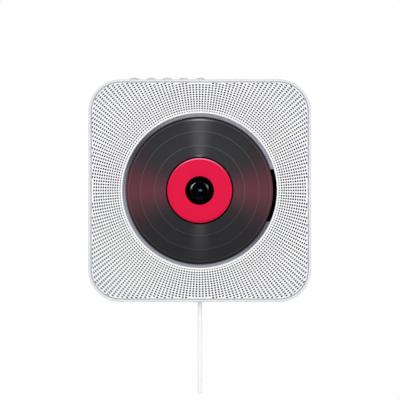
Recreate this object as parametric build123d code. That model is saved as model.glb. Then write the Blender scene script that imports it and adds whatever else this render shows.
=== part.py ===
from build123d import *

import os
from math import acos, atan2, cos, degrees, hypot, pi, radians, sin, tan

# Wall mounted compact disc player: a square casing that hangs on a wall plate.
# The frame has +Z up and the wall at y = 0, and the front faces -Y.
# The origin is on the wall, behind the centre of the disc.
os.makedirs("parts", exist_ok=True)

# ---- driving dimensions, millimetres -------------------------------------------------
CASE_SIZE = 182.0            # side of the square casing
CASE_CORNER = 26.5           # outer corner radius
CASE_WALL = 2.0
CASE_FRONT = -42.0           # y of the front face
CASE_SPLIT = -9.0            # y of the joint between band and rear cover
CASE_BACK = -1.0             # y of the rear cover's back face

PANEL_THICKNESS = 2.2
PANEL_GAP = 0.4              # seam between the front panel and the casing band
WELL_RADIUS = 63.1           # mouth of the round disc well
WELL_WALL = 1.7
WELL_FLOOR = -36.5           # y of the well's floor, front side
WELL_FLOOR_THICKNESS = 2.0
LIP_HEIGHT = 0.5             # how far the well's rounded lip stands proud of the front

DISC_RADIUS = 60.0
DISC_BORE = 7.5
DISC_THICKNESS = 1.2
DISC_BACK = -38.4            # y of the face that rests on the turntable

HOLE_ROWS = 200              # radial rows of perforations all the way round
HOLE_FIRST_RING = 65.2       # radius of the innermost ring
HOLE_RING_PITCH = 1.92
HOLE_RINGS = 26
HOLE_WIDTH = 1.2
PIERCED_RADIUS = 8.5         # the holes go through the panel this far round each speaker's axis

WINDOW_TOP = 16.6            # mechanism window in the well floor
WINDOW_BOTTOM = -24.5
WINDOW_LEFT = -24.0

CLOTH_THICKNESS = 0.6        # acoustic cloth, clamped between the front panel and the well
WELL_FLANGE = 72.0           # radius of the well's fixing flange
WELL_FLANGE_THICKNESS = 1.5

CHASSIS_FRONT = -33.5        # mechanism chassis plate
CHASSIS_THICKNESS = 1.8
SPINDLE_MOTOR_RADIUS = 12.0
TURNTABLE_RADIUS = 15.5
HUB_RADIUS = 7.4
SHAFT_RADIUS = 1.0
RUNNING_GAP = 0.04           # radial clearance of shafts and rods in their bushes

SLED_START = 24.0            # x of the lens at the start of the disc
SLED_TRAVEL = 34.0
ROD_Y = -30.5
MAIN_ROD_Z = 11.5
SIDE_ROD_Z = -13.0
MAIN_ROD_RADIUS = 1.5
SIDE_ROD_RADIUS = 1.2

GEAR_MODULE = 0.6
SMALL_TEETH = 12             # compound gear, rack side
LARGE_TEETH = 30             # compound gear, motor side
PINION_TEETH = 10
BACKLASH = 0.14
RACK_PITCH_Z = -17.0
GEAR_X = 34.0

BUTTON_X = (-54.0, -40.4, -27.0, -13.4, 0.3)
BUTTON_RADIUS = 3.9
BUTTON_PROUD = 2.8
BUTTON_Y = -21.0
BUTTON_TRAVEL = 0.6

CORD_DIAMETER = 3.6
CORD_Y = -21.0
CORD_TOP = -74.0
CORD_END = -161.0
CORD_TIP_END = -167.0
BUSH_RADIUS = 4.0            # bush that the cord runs through

SPEAKER_X = 62.5
SPEAKER_Z = -62.5
SPEAKER_RADIUS = 19.0

PLATE_WIDTH = 76.0           # wall plate
PLATE_HEIGHT = 46.0
PLATE_THICKNESS = 2.5
WALL_SCREW_SPACING = 56.0
WALL_SCREW_HOLE = 2.25       # radius
LIFT = 6.5                   # how far the player lifts to clear the hooks
HOOK_X = 16.0
HOOK_Z = (-14.0, 12.0)

HALF = CASE_SIZE / 2
INNER = CASE_SIZE - 2 * CASE_WALL
PANEL_BACK = CASE_FRONT + PANEL_THICKNESS
CHASSIS_BACK = CHASSIS_FRONT + CHASSIS_THICKNESS
FLOOR_BACK = WELL_FLOOR + WELL_FLOOR_THICKNESS
DISC_FRONT = DISC_BACK - DISC_THICKNESS
FLANGE_FRONT = PANEL_BACK + CLOTH_THICKNESS
FLANGE_BACK = FLANGE_FRONT + WELL_FLANGE_THICKNESS
LIP_OUTER = WELL_RADIUS + WELL_WALL
PANEL_OPENING = LIP_OUTER + 0.1

BOARD_BACK = -11.4           # y of the main circuit board's faces
BOARD_FRONT = -13.0
BOARD_POST_X = 52.0          # posts of the rear cover that the board stands on
BOARD_POST_Z = (-44.0, 38.0)


# ---- shared forms --------------------------------------------------------------------
def block(x0, x1, y0, y1, z0, z1):
    """A box between two corners."""
    middle = Pos((x0 + x1) / 2, (y0 + y1) / 2, (z0 + z1) / 2)
    return middle * Box(x1 - x0, y1 - y0, z1 - z0)


def slab(sketch, front, back):
    """An X-Z sketch made solid from y = back forward to y = front."""
    return extrude(Plane.XZ.offset(-back) * sketch, amount=back - front)


def post(radius, front, back, x=0.0, z=0.0, sides=0):
    """A round bar along Y, or one of so many sides where it is a small hidden boss or hole."""
    outline = RegularPolygon(radius, sides) if sides else Circle(radius)
    return slab(Pos(x, z) * outline, front, back)


def bar_x(radius, x0, x1, y, z):
    """A round bar along X."""
    return Pos((x0 + x1) / 2, y, z) * Rot(0, 90, 0) * Cylinder(radius, x1 - x0)


def bar_z(radius, z0, z1, x, y, sides=0):
    """A round bar along Z, or one of so many sides where it is small and hidden."""
    outline = RegularPolygon(radius, sides) if sides else Circle(radius)
    return extrude(Pos(x, y, z0) * outline, amount=z1 - z0)


def turned(*points):
    """A solid turned about the disc axis from (radius, y) points."""
    return revolve(Polygon(*points), Axis.Y)


def rounded(size, radius):
    """The square outline of the casing."""
    return RectangleRounded(size, size, radius)


def save(node, *solids):
    """Write one node, which may be a group of separate solids."""
    shape = solids[0] if len(solids) == 1 else Compound(list(solids))
    shape.label = node
    export_step(shape, f"parts/{node}.step")


# ---- wall plate: the moulded hanger that two screws hold on the wall -------------------
RECESS_DEPTH = 4.3                       # pocket in the rear cover that hides the plate
RECESS_FLOOR = CASE_BACK - RECESS_DEPTH
RECESS_INSIDE = RECESS_FLOOR - CASE_WALL
HOOK_WIDTH = 9.0
HOOK_STEM = 3.0
HOOK_REACH = 5.0
HOOK_GAP = 0.4


def wall_hook(x, z):
    """A stem through the rear cover's slot, with a lip that rises behind its wall."""
    half = HOOK_WIDTH / 2
    lip_back = RECESS_INSIDE - HOOK_GAP
    stem = block(x - half, x + half, lip_back, -PLATE_THICKNESS, z - HOOK_STEM, z)
    lip = Polygon((lip_back, z - HOOK_STEM), (lip_back, z + HOOK_REACH),
                  (lip_back - 1.2, z + HOOK_REACH), (lip_back - 2.2, z + HOOK_REACH - 2.5),
                  (lip_back - 2.2, z - HOOK_STEM))
    return stem + extrude(Plane.YZ.offset(x - half) * lip, amount=HOOK_WIDTH)


def wall_plate():
    """A flat plate with countersunk screw holes, stiffening frame and four hooks."""
    plate = slab(RectangleRounded(PLATE_WIDTH, PLATE_HEIGHT, 6), -PLATE_THICKNESS, 0)
    for side in (-1, 1):
        x = side * WALL_SCREW_SPACING / 2
        plate -= post(WALL_SCREW_HOLE, -PLATE_THICKNESS, 0, x)
        sink = Cone(WALL_SCREW_HOLE, WALL_SCREW_HOLE + 1.6, 1.2)
        plate -= Pos(x, -PLATE_THICKNESS + 0.6, 0) * Rot(90, 0, 0) * sink
        plate -= slab(Pos(side * 6, 0) * RectangleRounded(5, 26, 2), -PLATE_THICKNESS, 0)
        for z in HOOK_Z:
            plate += wall_hook(side * HOOK_X, z)
    return plate


# ---- casing: side band, front panel and rear cover -------------------------------------
REAR_SCREW_X = 84.3
REAR_SCREW_Z = 36.0
BOSS_RADIUS = 3.2
DC_Z, AUDIO_Z, USB_Z = -22.0, -8.0, 7.0  # sockets on the right side
SOCKET_Y = -20.0
DC_RADIUS = 3.2                          # barrel plug of 5.5 mm with its moulding's nose
AUDIO_RADIUS = 1.8                       # 3.5 mm jack plug
PANEL_Y = (-27.4, -12.6)                 # cut-out for the socket panel
PANEL_Z = (-29.0, 16.6)
SOCKET_FACE = HALF - CASE_WALL - 1       # x of the sockets' shoulders, behind the panel
DC_COLLAR = 4.4
AUDIO_COLLAR = 3.4


def casing_band():
    """The side wall, with the panel's ledge, screw bosses, and button and socket holes."""
    shell = slab(rounded(CASE_SIZE, CASE_CORNER), CASE_FRONT, CASE_SPLIT)
    shell = fillet(shell.faces().sort_by(Axis.Y)[0].edges(), 1.4)
    shell -= slab(rounded(INNER, CASE_CORNER - CASE_WALL), CASE_FRONT, CASE_SPLIT)
    ledge = rounded(INNER, CASE_CORNER - CASE_WALL) - rounded(INNER - 4, CASE_CORNER - 4)
    shell += slab(ledge, PANEL_BACK, PANEL_BACK + 1.6)
    for x in (-REAR_SCREW_X, REAR_SCREW_X):
        for z in (-REAR_SCREW_Z, REAR_SCREW_Z):
            wall = (HALF - CASE_WALL + 0.2) * (1 if x > 0 else -1)
            shell += post(BOSS_RADIUS, -34, CASE_SPLIT, x, z, sides=12)
            shell += block(min(x, wall), max(x, wall), -34, CASE_SPLIT, z - 1, z + 1)
            shell -= post(1.2, -24, CASE_SPLIT, x, z, sides=8)
    for x in BUTTON_X:
        shell -= bar_z(BUTTON_RADIUS + 0.25, HALF - 3, HALF + 1, x, BUTTON_Y)
    shell -= block(HALF - 3, HALF + 1, *PANEL_Y, *PANEL_Z)
    shell -= bar_z(BUSH_RADIUS, -HALF - 1, -HALF + 3, 0, CORD_Y)
    return shell


def speaker_hole_centres():
    """Perforations in front of the two speaker cones, on the panel's radial rows."""
    centres = []
    for row in range(HOLE_ROWS):
        angle = 2 * pi * row / HOLE_ROWS
        for ring in range(HOLE_RINGS):
            radius = HOLE_FIRST_RING + ring * HOLE_RING_PITCH
            x, z = radius * cos(angle), radius * sin(angle)
            if hypot(abs(x) - SPEAKER_X, z - SPEAKER_Z) < PIERCED_RADIUS:
                centres.append((x, z, degrees(angle)))
    return centres


def front_grille():
    """The front panel, cut through by square perforations over the speakers."""
    size = INNER - 2 * PANEL_GAP
    panel = rounded(size, CASE_CORNER - CASE_WALL - PANEL_GAP)
    panel -= Circle(PANEL_OPENING)
    holes = [Pos(x, z) * Rot(0, 0, turn) * Rectangle(HOLE_WIDTH, HOLE_WIDTH)
             for x, z, turn in speaker_hole_centres()]
    return slab(panel - holes, CASE_FRONT, PANEL_BACK)


def rear_cover():
    """A shallow tray with the wall plate's pocket, hook slots, vents and board posts."""
    cover = slab(rounded(CASE_SIZE, CASE_CORNER), CASE_SPLIT, CASE_BACK)
    cover = fillet(cover.faces().sort_by(Axis.Y)[-1].edges(), 3)
    cover -= slab(rounded(INNER, CASE_CORNER - CASE_WALL), CASE_SPLIT, CASE_BACK - CASE_WALL)
    pocket_half = PLATE_WIDTH / 2 + 2
    pocket_top = PLATE_HEIGHT / 2 + 2
    pocket_bottom = -PLATE_HEIGHT / 2 - 2 - LIFT
    wall = CASE_WALL
    cover += block(-pocket_half - wall, pocket_half + wall, RECESS_INSIDE, CASE_BACK - 1,
                   pocket_bottom - wall, pocket_top + wall)
    cover -= block(-pocket_half, pocket_half, RECESS_FLOOR, CASE_BACK, pocket_bottom, pocket_top)
    slot_half = HOOK_WIDTH / 2 + 0.4
    for x in (-HOOK_X, HOOK_X):
        for z in HOOK_Z:
            cover -= block(x - slot_half, x + slot_half, RECESS_INSIDE, RECESS_FLOOR,
                           z - HOOK_STEM - LIFT - 0.5, z)
    for x in (-REAR_SCREW_X, REAR_SCREW_X):
        for z in (-REAR_SCREW_Z, REAR_SCREW_Z):
            cover += post(BOSS_RADIUS, CASE_SPLIT, CASE_BACK - 1, x, z, sides=12)
            cover -= post(1.6, CASE_SPLIT, CASE_BACK, x, z, sides=8)
            cover -= post(3.0, CASE_BACK - 3.5, CASE_BACK, x, z, sides=16)
    for i in range(9):
        x = (i - 4) * 6
        cover -= block(x - 1.1, x + 1.1, CASE_BACK - CASE_WALL, CASE_BACK, 46, 70)
    for x in (-BOARD_POST_X, BOARD_POST_X):
        for z in BOARD_POST_Z:
            cover += post(2.6, BOARD_BACK, CASE_BACK - CASE_WALL, x, z, sides=10)
            cover -= post(0.9, BOARD_BACK, CASE_BACK - CASE_WALL - 1, x, z, sides=6)
    return cover


def rubber_pads():
    """Four round pads that keep the casing off the wall."""
    return [post(7, CASE_BACK, 0, x, z, sides=24) for x in (-66, 66) for z in (-66, 66)]


def screw(x, z, seat, head_radius, head_height, radius, length):
    """A pan-head screw whose head bears at y = seat; a negative length points it forward."""
    head = sorted((seat, seat - head_height * (1 if length > 0 else -1)))
    shank = sorted((seat, seat + length))
    return post(head_radius, *head, x, z, sides=12) + post(radius, *shank, x, z, sides=6)


# ---- disc well: the round dish behind the front panel ----------------------------------
DAMPER_XZ = ((-30, 20.6), (54, 20.6), (-30, -29.5), (54, -29.5))
DAMPER_POST_BACK = -30.6


def disc_well():
    """A dish with a rounded lip, a mechanism window, damper posts and a fixing flange.

    The flange is welded to the front panel through the cloth, and is cut away round the speakers.
    """
    outer = LIP_OUTER
    lip_front = CASE_FRONT - LIP_HEIGHT
    lip_side = lip_front + 0.5
    well = turned((WELL_RADIUS, WELL_FLOOR), (WELL_RADIUS, lip_side),
                  (WELL_RADIUS + 0.5, lip_front), (outer - 0.5, lip_front), (outer, lip_side),
                  (outer, FLANGE_FRONT), (WELL_FLANGE, FLANGE_FRONT),
                  (WELL_FLANGE, FLANGE_BACK), (outer, FLANGE_BACK),
                  (outer, FLOOR_BACK), (8, FLOOR_BACK), (8, WELL_FLOOR))
    well -= block(WINDOW_LEFT, WELL_FLANGE + 1, FLANGE_BACK, FLOOR_BACK, WINDOW_BOTTOM, WINDOW_TOP)
    for x, z in DAMPER_XZ:
        well += post(2.1, DAMPER_POST_BACK, FLOOR_BACK, x, z, sides=12)
        well -= post(0.9, DAMPER_POST_BACK - 3.8, DAMPER_POST_BACK, x, z, sides=6)
    for x in (-SPEAKER_X, SPEAKER_X):
        well -= post(SPEAKER_RADIUS + 0.4, FLANGE_FRONT, FLANGE_BACK, x, SPEAKER_Z)
    return well


# ---- disc mechanism --------------------------------------------------------------------
CHASSIS_X = (-37.0, 77.0)
CHASSIS_Z = (-37.0, 27.5)
SLED_X0 = SLED_START - 9.0               # the sled's ends at the start of the disc
SLED_X1 = SLED_START + 12.5
SLED_OPENING = (SLED_X0 - 1.5, SLED_X1 + SLED_TRAVEL + 2.1, -15.6, 9.0)  # x and z limits
COVER_BACK = -16.2
ROD_SADDLES = (10.0, 73.5)


def mechanism_chassis():
    """A black moulded plate with a rim, rod saddles and openings for sled and spindle."""
    x0, x1 = CHASSIS_X
    z0, z1 = CHASSIS_Z
    centre = Pos((x0 + x1) / 2, (z0 + z1) / 2)
    outline = centre * RectangleRounded(x1 - x0, z1 - z0, 7)
    inside = centre * RectangleRounded(x1 - x0 - 3, z1 - z0 - 3, 5.5)
    chassis = slab(outline, CHASSIS_FRONT, CHASSIS_BACK)
    chassis += slab(outline - inside, CHASSIS_BACK, CHASSIS_BACK + 3.2)
    chassis -= post(6.0, CHASSIS_FRONT, CHASSIS_BACK)
    gap_x0, gap_x1, gap_z0, gap_z1 = SLED_OPENING
    chassis -= block(gap_x0, gap_x1, CHASSIS_FRONT, CHASSIS_BACK, gap_z0, gap_z1)
    for x, z in DAMPER_XZ:
        chassis -= post(3.5, CHASSIS_FRONT, CHASSIS_BACK, x, z, sides=12)
    for z, radius in ((MAIN_ROD_Z, MAIN_ROD_RADIUS), (SIDE_ROD_Z, SIDE_ROD_RADIUS)):
        for x in ROD_SADDLES:
            saddle = block(x - 1.5, x + 1.5, CHASSIS_BACK - 0.1, ROD_Y + 2.6, z - 2.6, z + 2.6)
            chassis += saddle
        chassis -= bar_x(radius, ROD_SADDLES[0] - 1.5, ROD_SADDLES[1] + 1.5, ROD_Y, z)
    return chassis


def guide_rod(radius, z):
    """A ground steel rod held in two saddles."""
    return bar_x(radius, ROD_SADDLES[0] - 1.5, ROD_SADDLES[1] + 1.4, ROD_Y, z)


def mechanism_cover():
    """A black tray that closes the back of the mechanism, seated on the chassis rim."""
    x0, x1 = CHASSIS_X
    z0, z1 = CHASSIS_Z
    centre = Pos((x0 + x1) / 2, (z0 + z1) / 2)
    outline = centre * RectangleRounded(x1 - x0, z1 - z0, 7)
    inside = centre * RectangleRounded(x1 - x0 - 2.4, z1 - z0 - 2.4, 5.8)
    tray = slab(outline, CHASSIS_BACK + 3.2, COVER_BACK)
    return tray - slab(inside, CHASSIS_BACK + 3.2, COVER_BACK - 1.2)


def damper(x, z):
    """A rubber grommet on a damper post, with a groove that grips the chassis."""
    body = post(4.6, CHASSIS_FRONT - 0.9, CHASSIS_FRONT, x, z, sides=12)
    body += post(3.5, CHASSIS_FRONT, CHASSIS_BACK, x, z, sides=12)
    body += post(4.6, CHASSIS_BACK, DAMPER_POST_BACK, x, z, sides=12)
    return body - post(2.2, CHASSIS_FRONT - 0.9, DAMPER_POST_BACK, x, z, sides=12)


def spindle_motor():
    """The fixed part of the spindle motor: its can and the bush for the shaft."""
    bore = SHAFT_RADIUS + RUNNING_GAP
    radius = SPINDLE_MOTOR_RADIUS
    return turned((bore, -34.6), (2.6, -34.6), (2.6, -33.4), (5.8, -33.4), (5.8, CHASSIS_BACK),
                  (radius, CHASSIS_BACK), (radius, -25.5), (radius - 1, -24.5), (3.5, -24.5),
                  (3.5, -23.5), (bore, -23.5))


def turntable():
    """The platter that carries the disc, with its boss pressed on the shaft."""
    r = TURNTABLE_RADIUS
    return turned((SHAFT_RADIUS, -38.0), (r - 4.4, -38.0), (r - 4.4, DISC_BACK + 0.9),
                  (r - 0.4, DISC_BACK + 0.9), (r, DISC_BACK + 1.3), (r, -36.4), (4.0, -36.4),
                  (4.0, -35.2), (SHAFT_RADIUS, -35.2))


def turntable_mat():
    """A rubber ring that the disc rests on."""
    r = TURNTABLE_RADIUS
    return turned((r - 4.4, DISC_BACK), (r - 0.6, DISC_BACK), (r - 0.6, DISC_BACK + 0.9),
                  (r - 4.4, DISC_BACK + 0.9))


CLAW_WIDTH = 3.0
CLAW_ANGLES = (90, 210, 330)
CLAW_ROOT = 4.4
CLAW_TRAVEL = 0.5


def hub():
    """The domed hub that centres the disc, with three windows for the claws."""
    body = turned((0, -38.0), (HUB_RADIUS, -38.0), (HUB_RADIUS, DISC_FRONT - 0.3),
                  (6.7, -40.9), (5.2, -41.5), (3.2, -41.75), (0, -41.8))
    body -= post(SHAFT_RADIUS, -40.2, -38.0)
    half = CLAW_WIDTH / 2 + 0.15
    for angle in CLAW_ANGLES:
        window = block(CLAW_ROOT - CLAW_TRAVEL - 0.3, 9, -41.15, -38.75, -half, half)
        body -= Rot(0, angle, 0) * window
    return body


def claw(angle):
    """A sprung claw whose nose snaps over the front edge of the disc's hole."""
    nose = DISC_FRONT - 0.6
    outline = Polygon((CLAW_ROOT, -40.95), (6.3, -40.95), (7.65, nose), (7.42, DISC_FRONT),
                      (7.3, -38.9), (CLAW_ROOT, -38.9))
    solid = extrude(Plane.XY.offset(-CLAW_WIDTH / 2) * outline, amount=CLAW_WIDTH)
    return Rot(0, angle, 0) * solid


def compact_disc():
    """The disc, with its moulded ridge round the clamping area on the back."""
    return turned((DISC_BORE, DISC_FRONT), (DISC_RADIUS, DISC_FRONT), (DISC_RADIUS, DISC_BACK),
                  (17.2, DISC_BACK), (17.0, DISC_BACK + 0.2), (16.6, DISC_BACK + 0.2),
                  (16.4, DISC_BACK), (DISC_BORE, DISC_BACK))


# ---- gears: involute flanks with backlash ---------------------------------------------
PRESSURE_ANGLE = radians(20)
ADDENDUM = 0.92 * GEAR_MODULE
DEDENDUM = 1.3 * GEAR_MODULE


def involute(angle):
    return tan(angle) - angle


def gear_outline(teeth, first_tooth):
    """Tooth flanks as chords of an involute, thinned by the backlash.

    first_tooth is the direction, in degrees, that one tooth points to.
    """
    pitch_radius = teeth * GEAR_MODULE / 2
    base = pitch_radius * cos(PRESSURE_ANGLE)
    radii = [pitch_radius - DEDENDUM, pitch_radius + ADDENDUM]
    if teeth < 20:
        radii.insert(1, pitch_radius)
    half_pitch_angle = pi / (2 * teeth) - BACKLASH / (2 * pitch_radius)
    points = []
    for tooth in range(teeth):
        middle = radians(first_tooth) + 2 * pi * tooth / teeth
        flank = []
        for radius in radii:
            working = max(radius, base)
            half = half_pitch_angle + involute(PRESSURE_ANGLE) - involute(acos(base / working))
            flank.append((radius, half))
        turns = [(r, middle - h) for r, h in flank] + [(r, middle + h) for r, h in flank[::-1]]
        points += [(r * cos(a), r * sin(a)) for r, a in turns]
    return Polygon(*points)


GEAR_Z = RACK_PITCH_Z - SMALL_TEETH * GEAR_MODULE / 2
PINION_DISTANCE = (LARGE_TEETH + PINION_TEETH) * GEAR_MODULE / 2
PINION_X = 24.5
PINION_Z = GEAR_Z - (PINION_DISTANCE ** 2 - (GEAR_X - PINION_X) ** 2) ** 0.5
TO_PINION = degrees(atan2(PINION_Z - GEAR_Z, PINION_X - GEAR_X))
GEAR_PIN_RADIUS = 1.0
LARGE_FRONT, LARGE_BACK = -21.2, -19.0
SLED_MOTOR_RADIUS = 7.0


def drive_gear():
    """Compound gear: a long pinion that drives the rack and a wheel driven by the motor."""
    small = slab(Pos(GEAR_X, GEAR_Z) * gear_outline(SMALL_TEETH, 90), -31.2, LARGE_FRONT)
    large = slab(Pos(GEAR_X, GEAR_Z) * gear_outline(LARGE_TEETH, TO_PINION),
                 LARGE_FRONT, LARGE_BACK)
    return small + large - post(GEAR_PIN_RADIUS + RUNNING_GAP, -32, LARGE_BACK, GEAR_X, GEAR_Z)


def motor_pinion():
    """The pinion pressed on the sled motor's shaft."""
    gap_turn = TO_PINION + 180 + 180 / PINION_TEETH
    outline = Pos(PINION_X, PINION_Z) * gear_outline(PINION_TEETH, gap_turn)
    return slab(outline, LARGE_FRONT, LARGE_BACK) - post(0.75, -22, LARGE_BACK, PINION_X, PINION_Z)


def sled_motor():
    """A small round motor fixed to the back of the chassis plate."""
    can = post(SLED_MOTOR_RADIUS, CHASSIS_BACK, -23.2, PINION_X, PINION_Z)
    can += post(3.0, -23.2, -22.2, PINION_X, PINION_Z)
    return can - post(0.75 + RUNNING_GAP, -29, -22.2, PINION_X, PINION_Z)


def gear_pin():
    """The fixed pin that the compound gear turns on, with its head in the chassis."""
    return post(GEAR_PIN_RADIUS, CHASSIS_BACK, -18.2, GEAR_X, GEAR_Z)


# ---- laser sled ------------------------------------------------------------------------
def sled_body():
    """The pickup's base: a rod bushing, a fork on the side rod and the optics block."""
    body = block(SLED_X0, SLED_X1, -33.0, -27.6, -10.4, 8.4)
    body += block(SLED_X0, SLED_X1, -27.6, -22.2, -10.2, 7.0)
    body += block(SLED_X0, SLED_X1, -31.4, -27.6, 8.4, 14.6)
    body += block(SLED_X0 + 6, SLED_X1 - 6, -31.4, -27.6, -14.0, -10.4)
    body -= bar_x(MAIN_ROD_RADIUS + RUNNING_GAP, SLED_X0, SLED_X1, ROD_Y, MAIN_ROD_Z)
    body -= block(SLED_X0 + 9, SLED_X1 - 9, -31.4, -27.6, 8.4, 15)
    side = SIDE_ROD_RADIUS + 0.1
    body -= block(SLED_X0, SLED_X1, ROD_Y - side, ROD_Y + side, -15, SIDE_ROD_Z + side)
    return body


def lens_holder():
    """The moving frame of the lens actuator, on its magnet yoke."""
    holder = block(SLED_START - 5.5, SLED_START + 5.5, -36.4, -33.0, -6.5, 6.5)
    holder -= block(SLED_START - 4.5, SLED_START + 4.5, -36.4, -34.2, 3.2, 5.4)
    holder -= block(SLED_START - 4.5, SLED_START + 4.5, -36.4, -34.2, -5.4, -3.2)
    return holder - post(2.2, -36.4, -33.0, SLED_START)


def lens():
    """The objective lens, with its curved front."""
    bulge = turned((0, -34.0), (2.2, -34.0), (2.2, -36.4), (1.4, -37.0), (0, -37.2))
    return Pos(SLED_START, 0, 0) * bulge


RACK_X0, RACK_X1 = -4.5, SLED_X1


def sled_rack():
    """The rack along the sled's lower side, with straight flanks that face down."""
    pitch = pi * GEAR_MODULE
    slope = tan(PRESSURE_ANGLE)
    half = pitch / 4 - BACKLASH / 2
    top, root = RACK_PITCH_Z + 2.4, RACK_PITCH_Z + DEDENDUM
    tip = RACK_PITCH_Z - ADDENDUM
    points = [(RACK_X1, top), (RACK_X0, top), (RACK_X0, root)]
    first = int((RACK_X0 - GEAR_X) / pitch)
    for tooth in range(first, 3):
        middle = GEAR_X + (tooth + 0.5) * pitch
        at_root, at_tip = half + DEDENDUM * slope, half - ADDENDUM * slope
        if RACK_X0 < middle - at_root and middle + at_root < RACK_X1:
            points += [(middle - at_root, root), (middle - at_tip, tip),
                       (middle + at_tip, tip), (middle + at_root, root)]
    points.append((RACK_X1, root))
    rack = slab(Polygon(*points), -25.4, -22.4)
    return rack + block(SLED_X0, SLED_X1, -25.4, -22.4, top, -10.2)


# ---- buttons along the top edge ---------------------------------------------------------
BUTTON_BOARD_TOP = 79.6
SWITCH_TOP = 83.1


def button(x):
    """A domed round button with a stop collar and a stem to its switch."""
    top, face = HALF + BUTTON_PROUD, HALF - CASE_WALL - 0.2
    cap = Pos(x, BUTTON_Y) * Circle(BUTTON_RADIUS)
    cap = chamfer(extrude(Pos(0, 0, face) * cap, amount=top - face).edges().sort_by(Axis.Z)[-1], 0.8)
    cap += bar_z(BUTTON_RADIUS + 0.9, face - 1.2, face, x, BUTTON_Y, sides=16)
    return cap + bar_z(1.5, SWITCH_TOP - 0.6, face - 1.2, x, BUTTON_Y, sides=8)


def button_board():
    """The circuit board under the buttons."""
    x0, x1 = BUTTON_X[0] - 9, BUTTON_X[-1] + 9
    board = block(x0, x1, BUTTON_Y - 8, BUTTON_Y + 8, BUTTON_BOARD_TOP - 1.6, BUTTON_BOARD_TOP)
    for x in (x0 + 3.5, x1 - 3.5):
        board -= bar_z(1.6, BUTTON_BOARD_TOP - 1.6, BUTTON_BOARD_TOP, x, BUTTON_Y + 4, sides=8)
    return board


def tact_switch(x):
    """A six millimetre push switch, with the hole that the stem works in."""
    switch = block(x - 3, x + 3, BUTTON_Y - 3, BUTTON_Y + 3, BUTTON_BOARD_TOP, SWITCH_TOP)
    return switch - bar_z(1.8, SWITCH_TOP - 1 - BUTTON_TRAVEL, SWITCH_TOP, x, BUTTON_Y, sides=10)


# ---- pull switch and cord ---------------------------------------------------------------
HOUSING_BOTTOM = -89.0
HOUSING_TOP = -66.0
SPRING_BOTTOM = -87.4
SPRING_TOP = -76.4
SLIDER_BORE = 5.0


def cord_bush():
    """The flanged bush that the cord runs through in the bottom wall."""
    bush = bar_z(BUSH_RADIUS, -HALF, HOUSING_BOTTOM, 0, CORD_Y)
    bush += bar_z(BUSH_RADIUS + 1.0, -HALF - 0.8, -HALF, 0, CORD_Y)
    return bush - bar_z(CORD_DIAMETER / 2 + 0.3, -HALF - 1, HOUSING_BOTTOM, 0, CORD_Y)


def switch_housing():
    """The pull switch's square body, bored for the slider and spring."""
    body = block(-7.5, 7.5, CORD_Y - 7.5, CORD_Y + 7.5, HOUSING_BOTTOM, HOUSING_TOP)
    body -= bar_z(SLIDER_BORE, SPRING_BOTTOM, HOUSING_TOP, 0, CORD_Y)
    return body - bar_z(CORD_DIAMETER / 2 + 0.3, HOUSING_BOTTOM, SPRING_BOTTOM, 0, CORD_Y)


def switch_cap():
    """The lid that carries the contacts, with two solder tags."""
    lid = block(-7.5, 7.5, CORD_Y - 7.5, CORD_Y + 7.5, HOUSING_TOP, HOUSING_TOP + 1.8)
    for x in (-4, 4):
        lid += block(x - 1.2, x + 1.2, CORD_Y - 0.3, CORD_Y + 0.3, HOUSING_TOP + 1.8, HOUSING_TOP + 6)
    return lid


def switch_slider():
    """The plunger that the cord is crimped into."""
    plunger = bar_z(SLIDER_BORE - 0.3, SPRING_TOP, CORD_TOP + 3, 0, CORD_Y)
    return plunger - bar_z(CORD_DIAMETER / 2, SPRING_TOP, CORD_TOP, 0, CORD_Y)


def cord_tip():
    """The moulded end that is crimped on the cord, rounded at the bottom."""
    radius = CORD_DIAMETER / 2 + 0.3
    tip = bar_z(radius, CORD_TIP_END, CORD_END + 3, 0, CORD_Y)
    tip = chamfer(tip.edges().sort_by(Axis.Z)[0], 0.8)
    return tip - bar_z(CORD_DIAMETER / 2, CORD_END, CORD_END + 3, 0, CORD_Y)


def return_spring():
    """A coil spring round the cord, from the housing floor to the slider."""
    turns, sides, wire = 4, 10, 0.8
    radius = 3.3
    points = []
    for i in range(turns * sides + 1):
        turn = 2 * pi * i / sides
        rise = wire / 2 + (SPRING_TOP - SPRING_BOTTOM - wire) * i / (turns * sides)
        points.append((radius * cos(turn), CORD_Y + radius * sin(turn), SPRING_BOTTOM + rise))
    path = Polyline(*points)
    section = Plane(origin=points[0], x_dir=(1, 0, 0), z_dir=path % 0) * Rectangle(wire, wire)
    return sweep(section, path=path, transition=Transition.RIGHT)


# ---- speakers, one in each lower corner -------------------------------------------------
def at_speakers(*points):
    """The same turned solid at both speaker centres."""
    solid = turned(*points)
    return [Pos(x, 0, SPEAKER_Z) * solid for x in (-SPEAKER_X, SPEAKER_X)]


def speaker_frames():
    r = SPEAKER_RADIUS
    return at_speakers((r - 1.7, -38.4), (r, -38.4), (r, -36.6), (r - 1.8, -36.6),
                       (12.4, -27.4), (4.0, -27.4), (4.0, -28.4), (11.6, -28.4),
                       (r - 2.8, -36.6), (r - 1.7, -37.2))


def speaker_cones():
    return at_speakers((0, -34.2), (5.2, -32.6), (15.8, -37.9), (17.3, -37.9), (17.3, -37.4),
                       (15.8, -37.4), (5.2, -32.0), (0, -33.7))


def speaker_magnets():
    return at_speakers((0, -27.4), (13.5, -27.4), (13.5, -26.4), (12.6, -26.4), (12.6, -21.4),
                       (13.5, -21.4), (13.5, -20.2), (0, -20.2))


def speaker_gaskets():
    r = SPEAKER_RADIUS
    return at_speakers((r - 1.8, -39.2), (r, -39.2), (r, -38.4), (r - 1.8, -38.4))


def grille_cloth():
    """The black acoustic cloth behind the perforated panel."""
    sheet = rounded(INNER - 6, CASE_CORNER - 5) - Circle(PANEL_OPENING)
    return slab(sheet, PANEL_BACK, FLANGE_FRONT)


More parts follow.
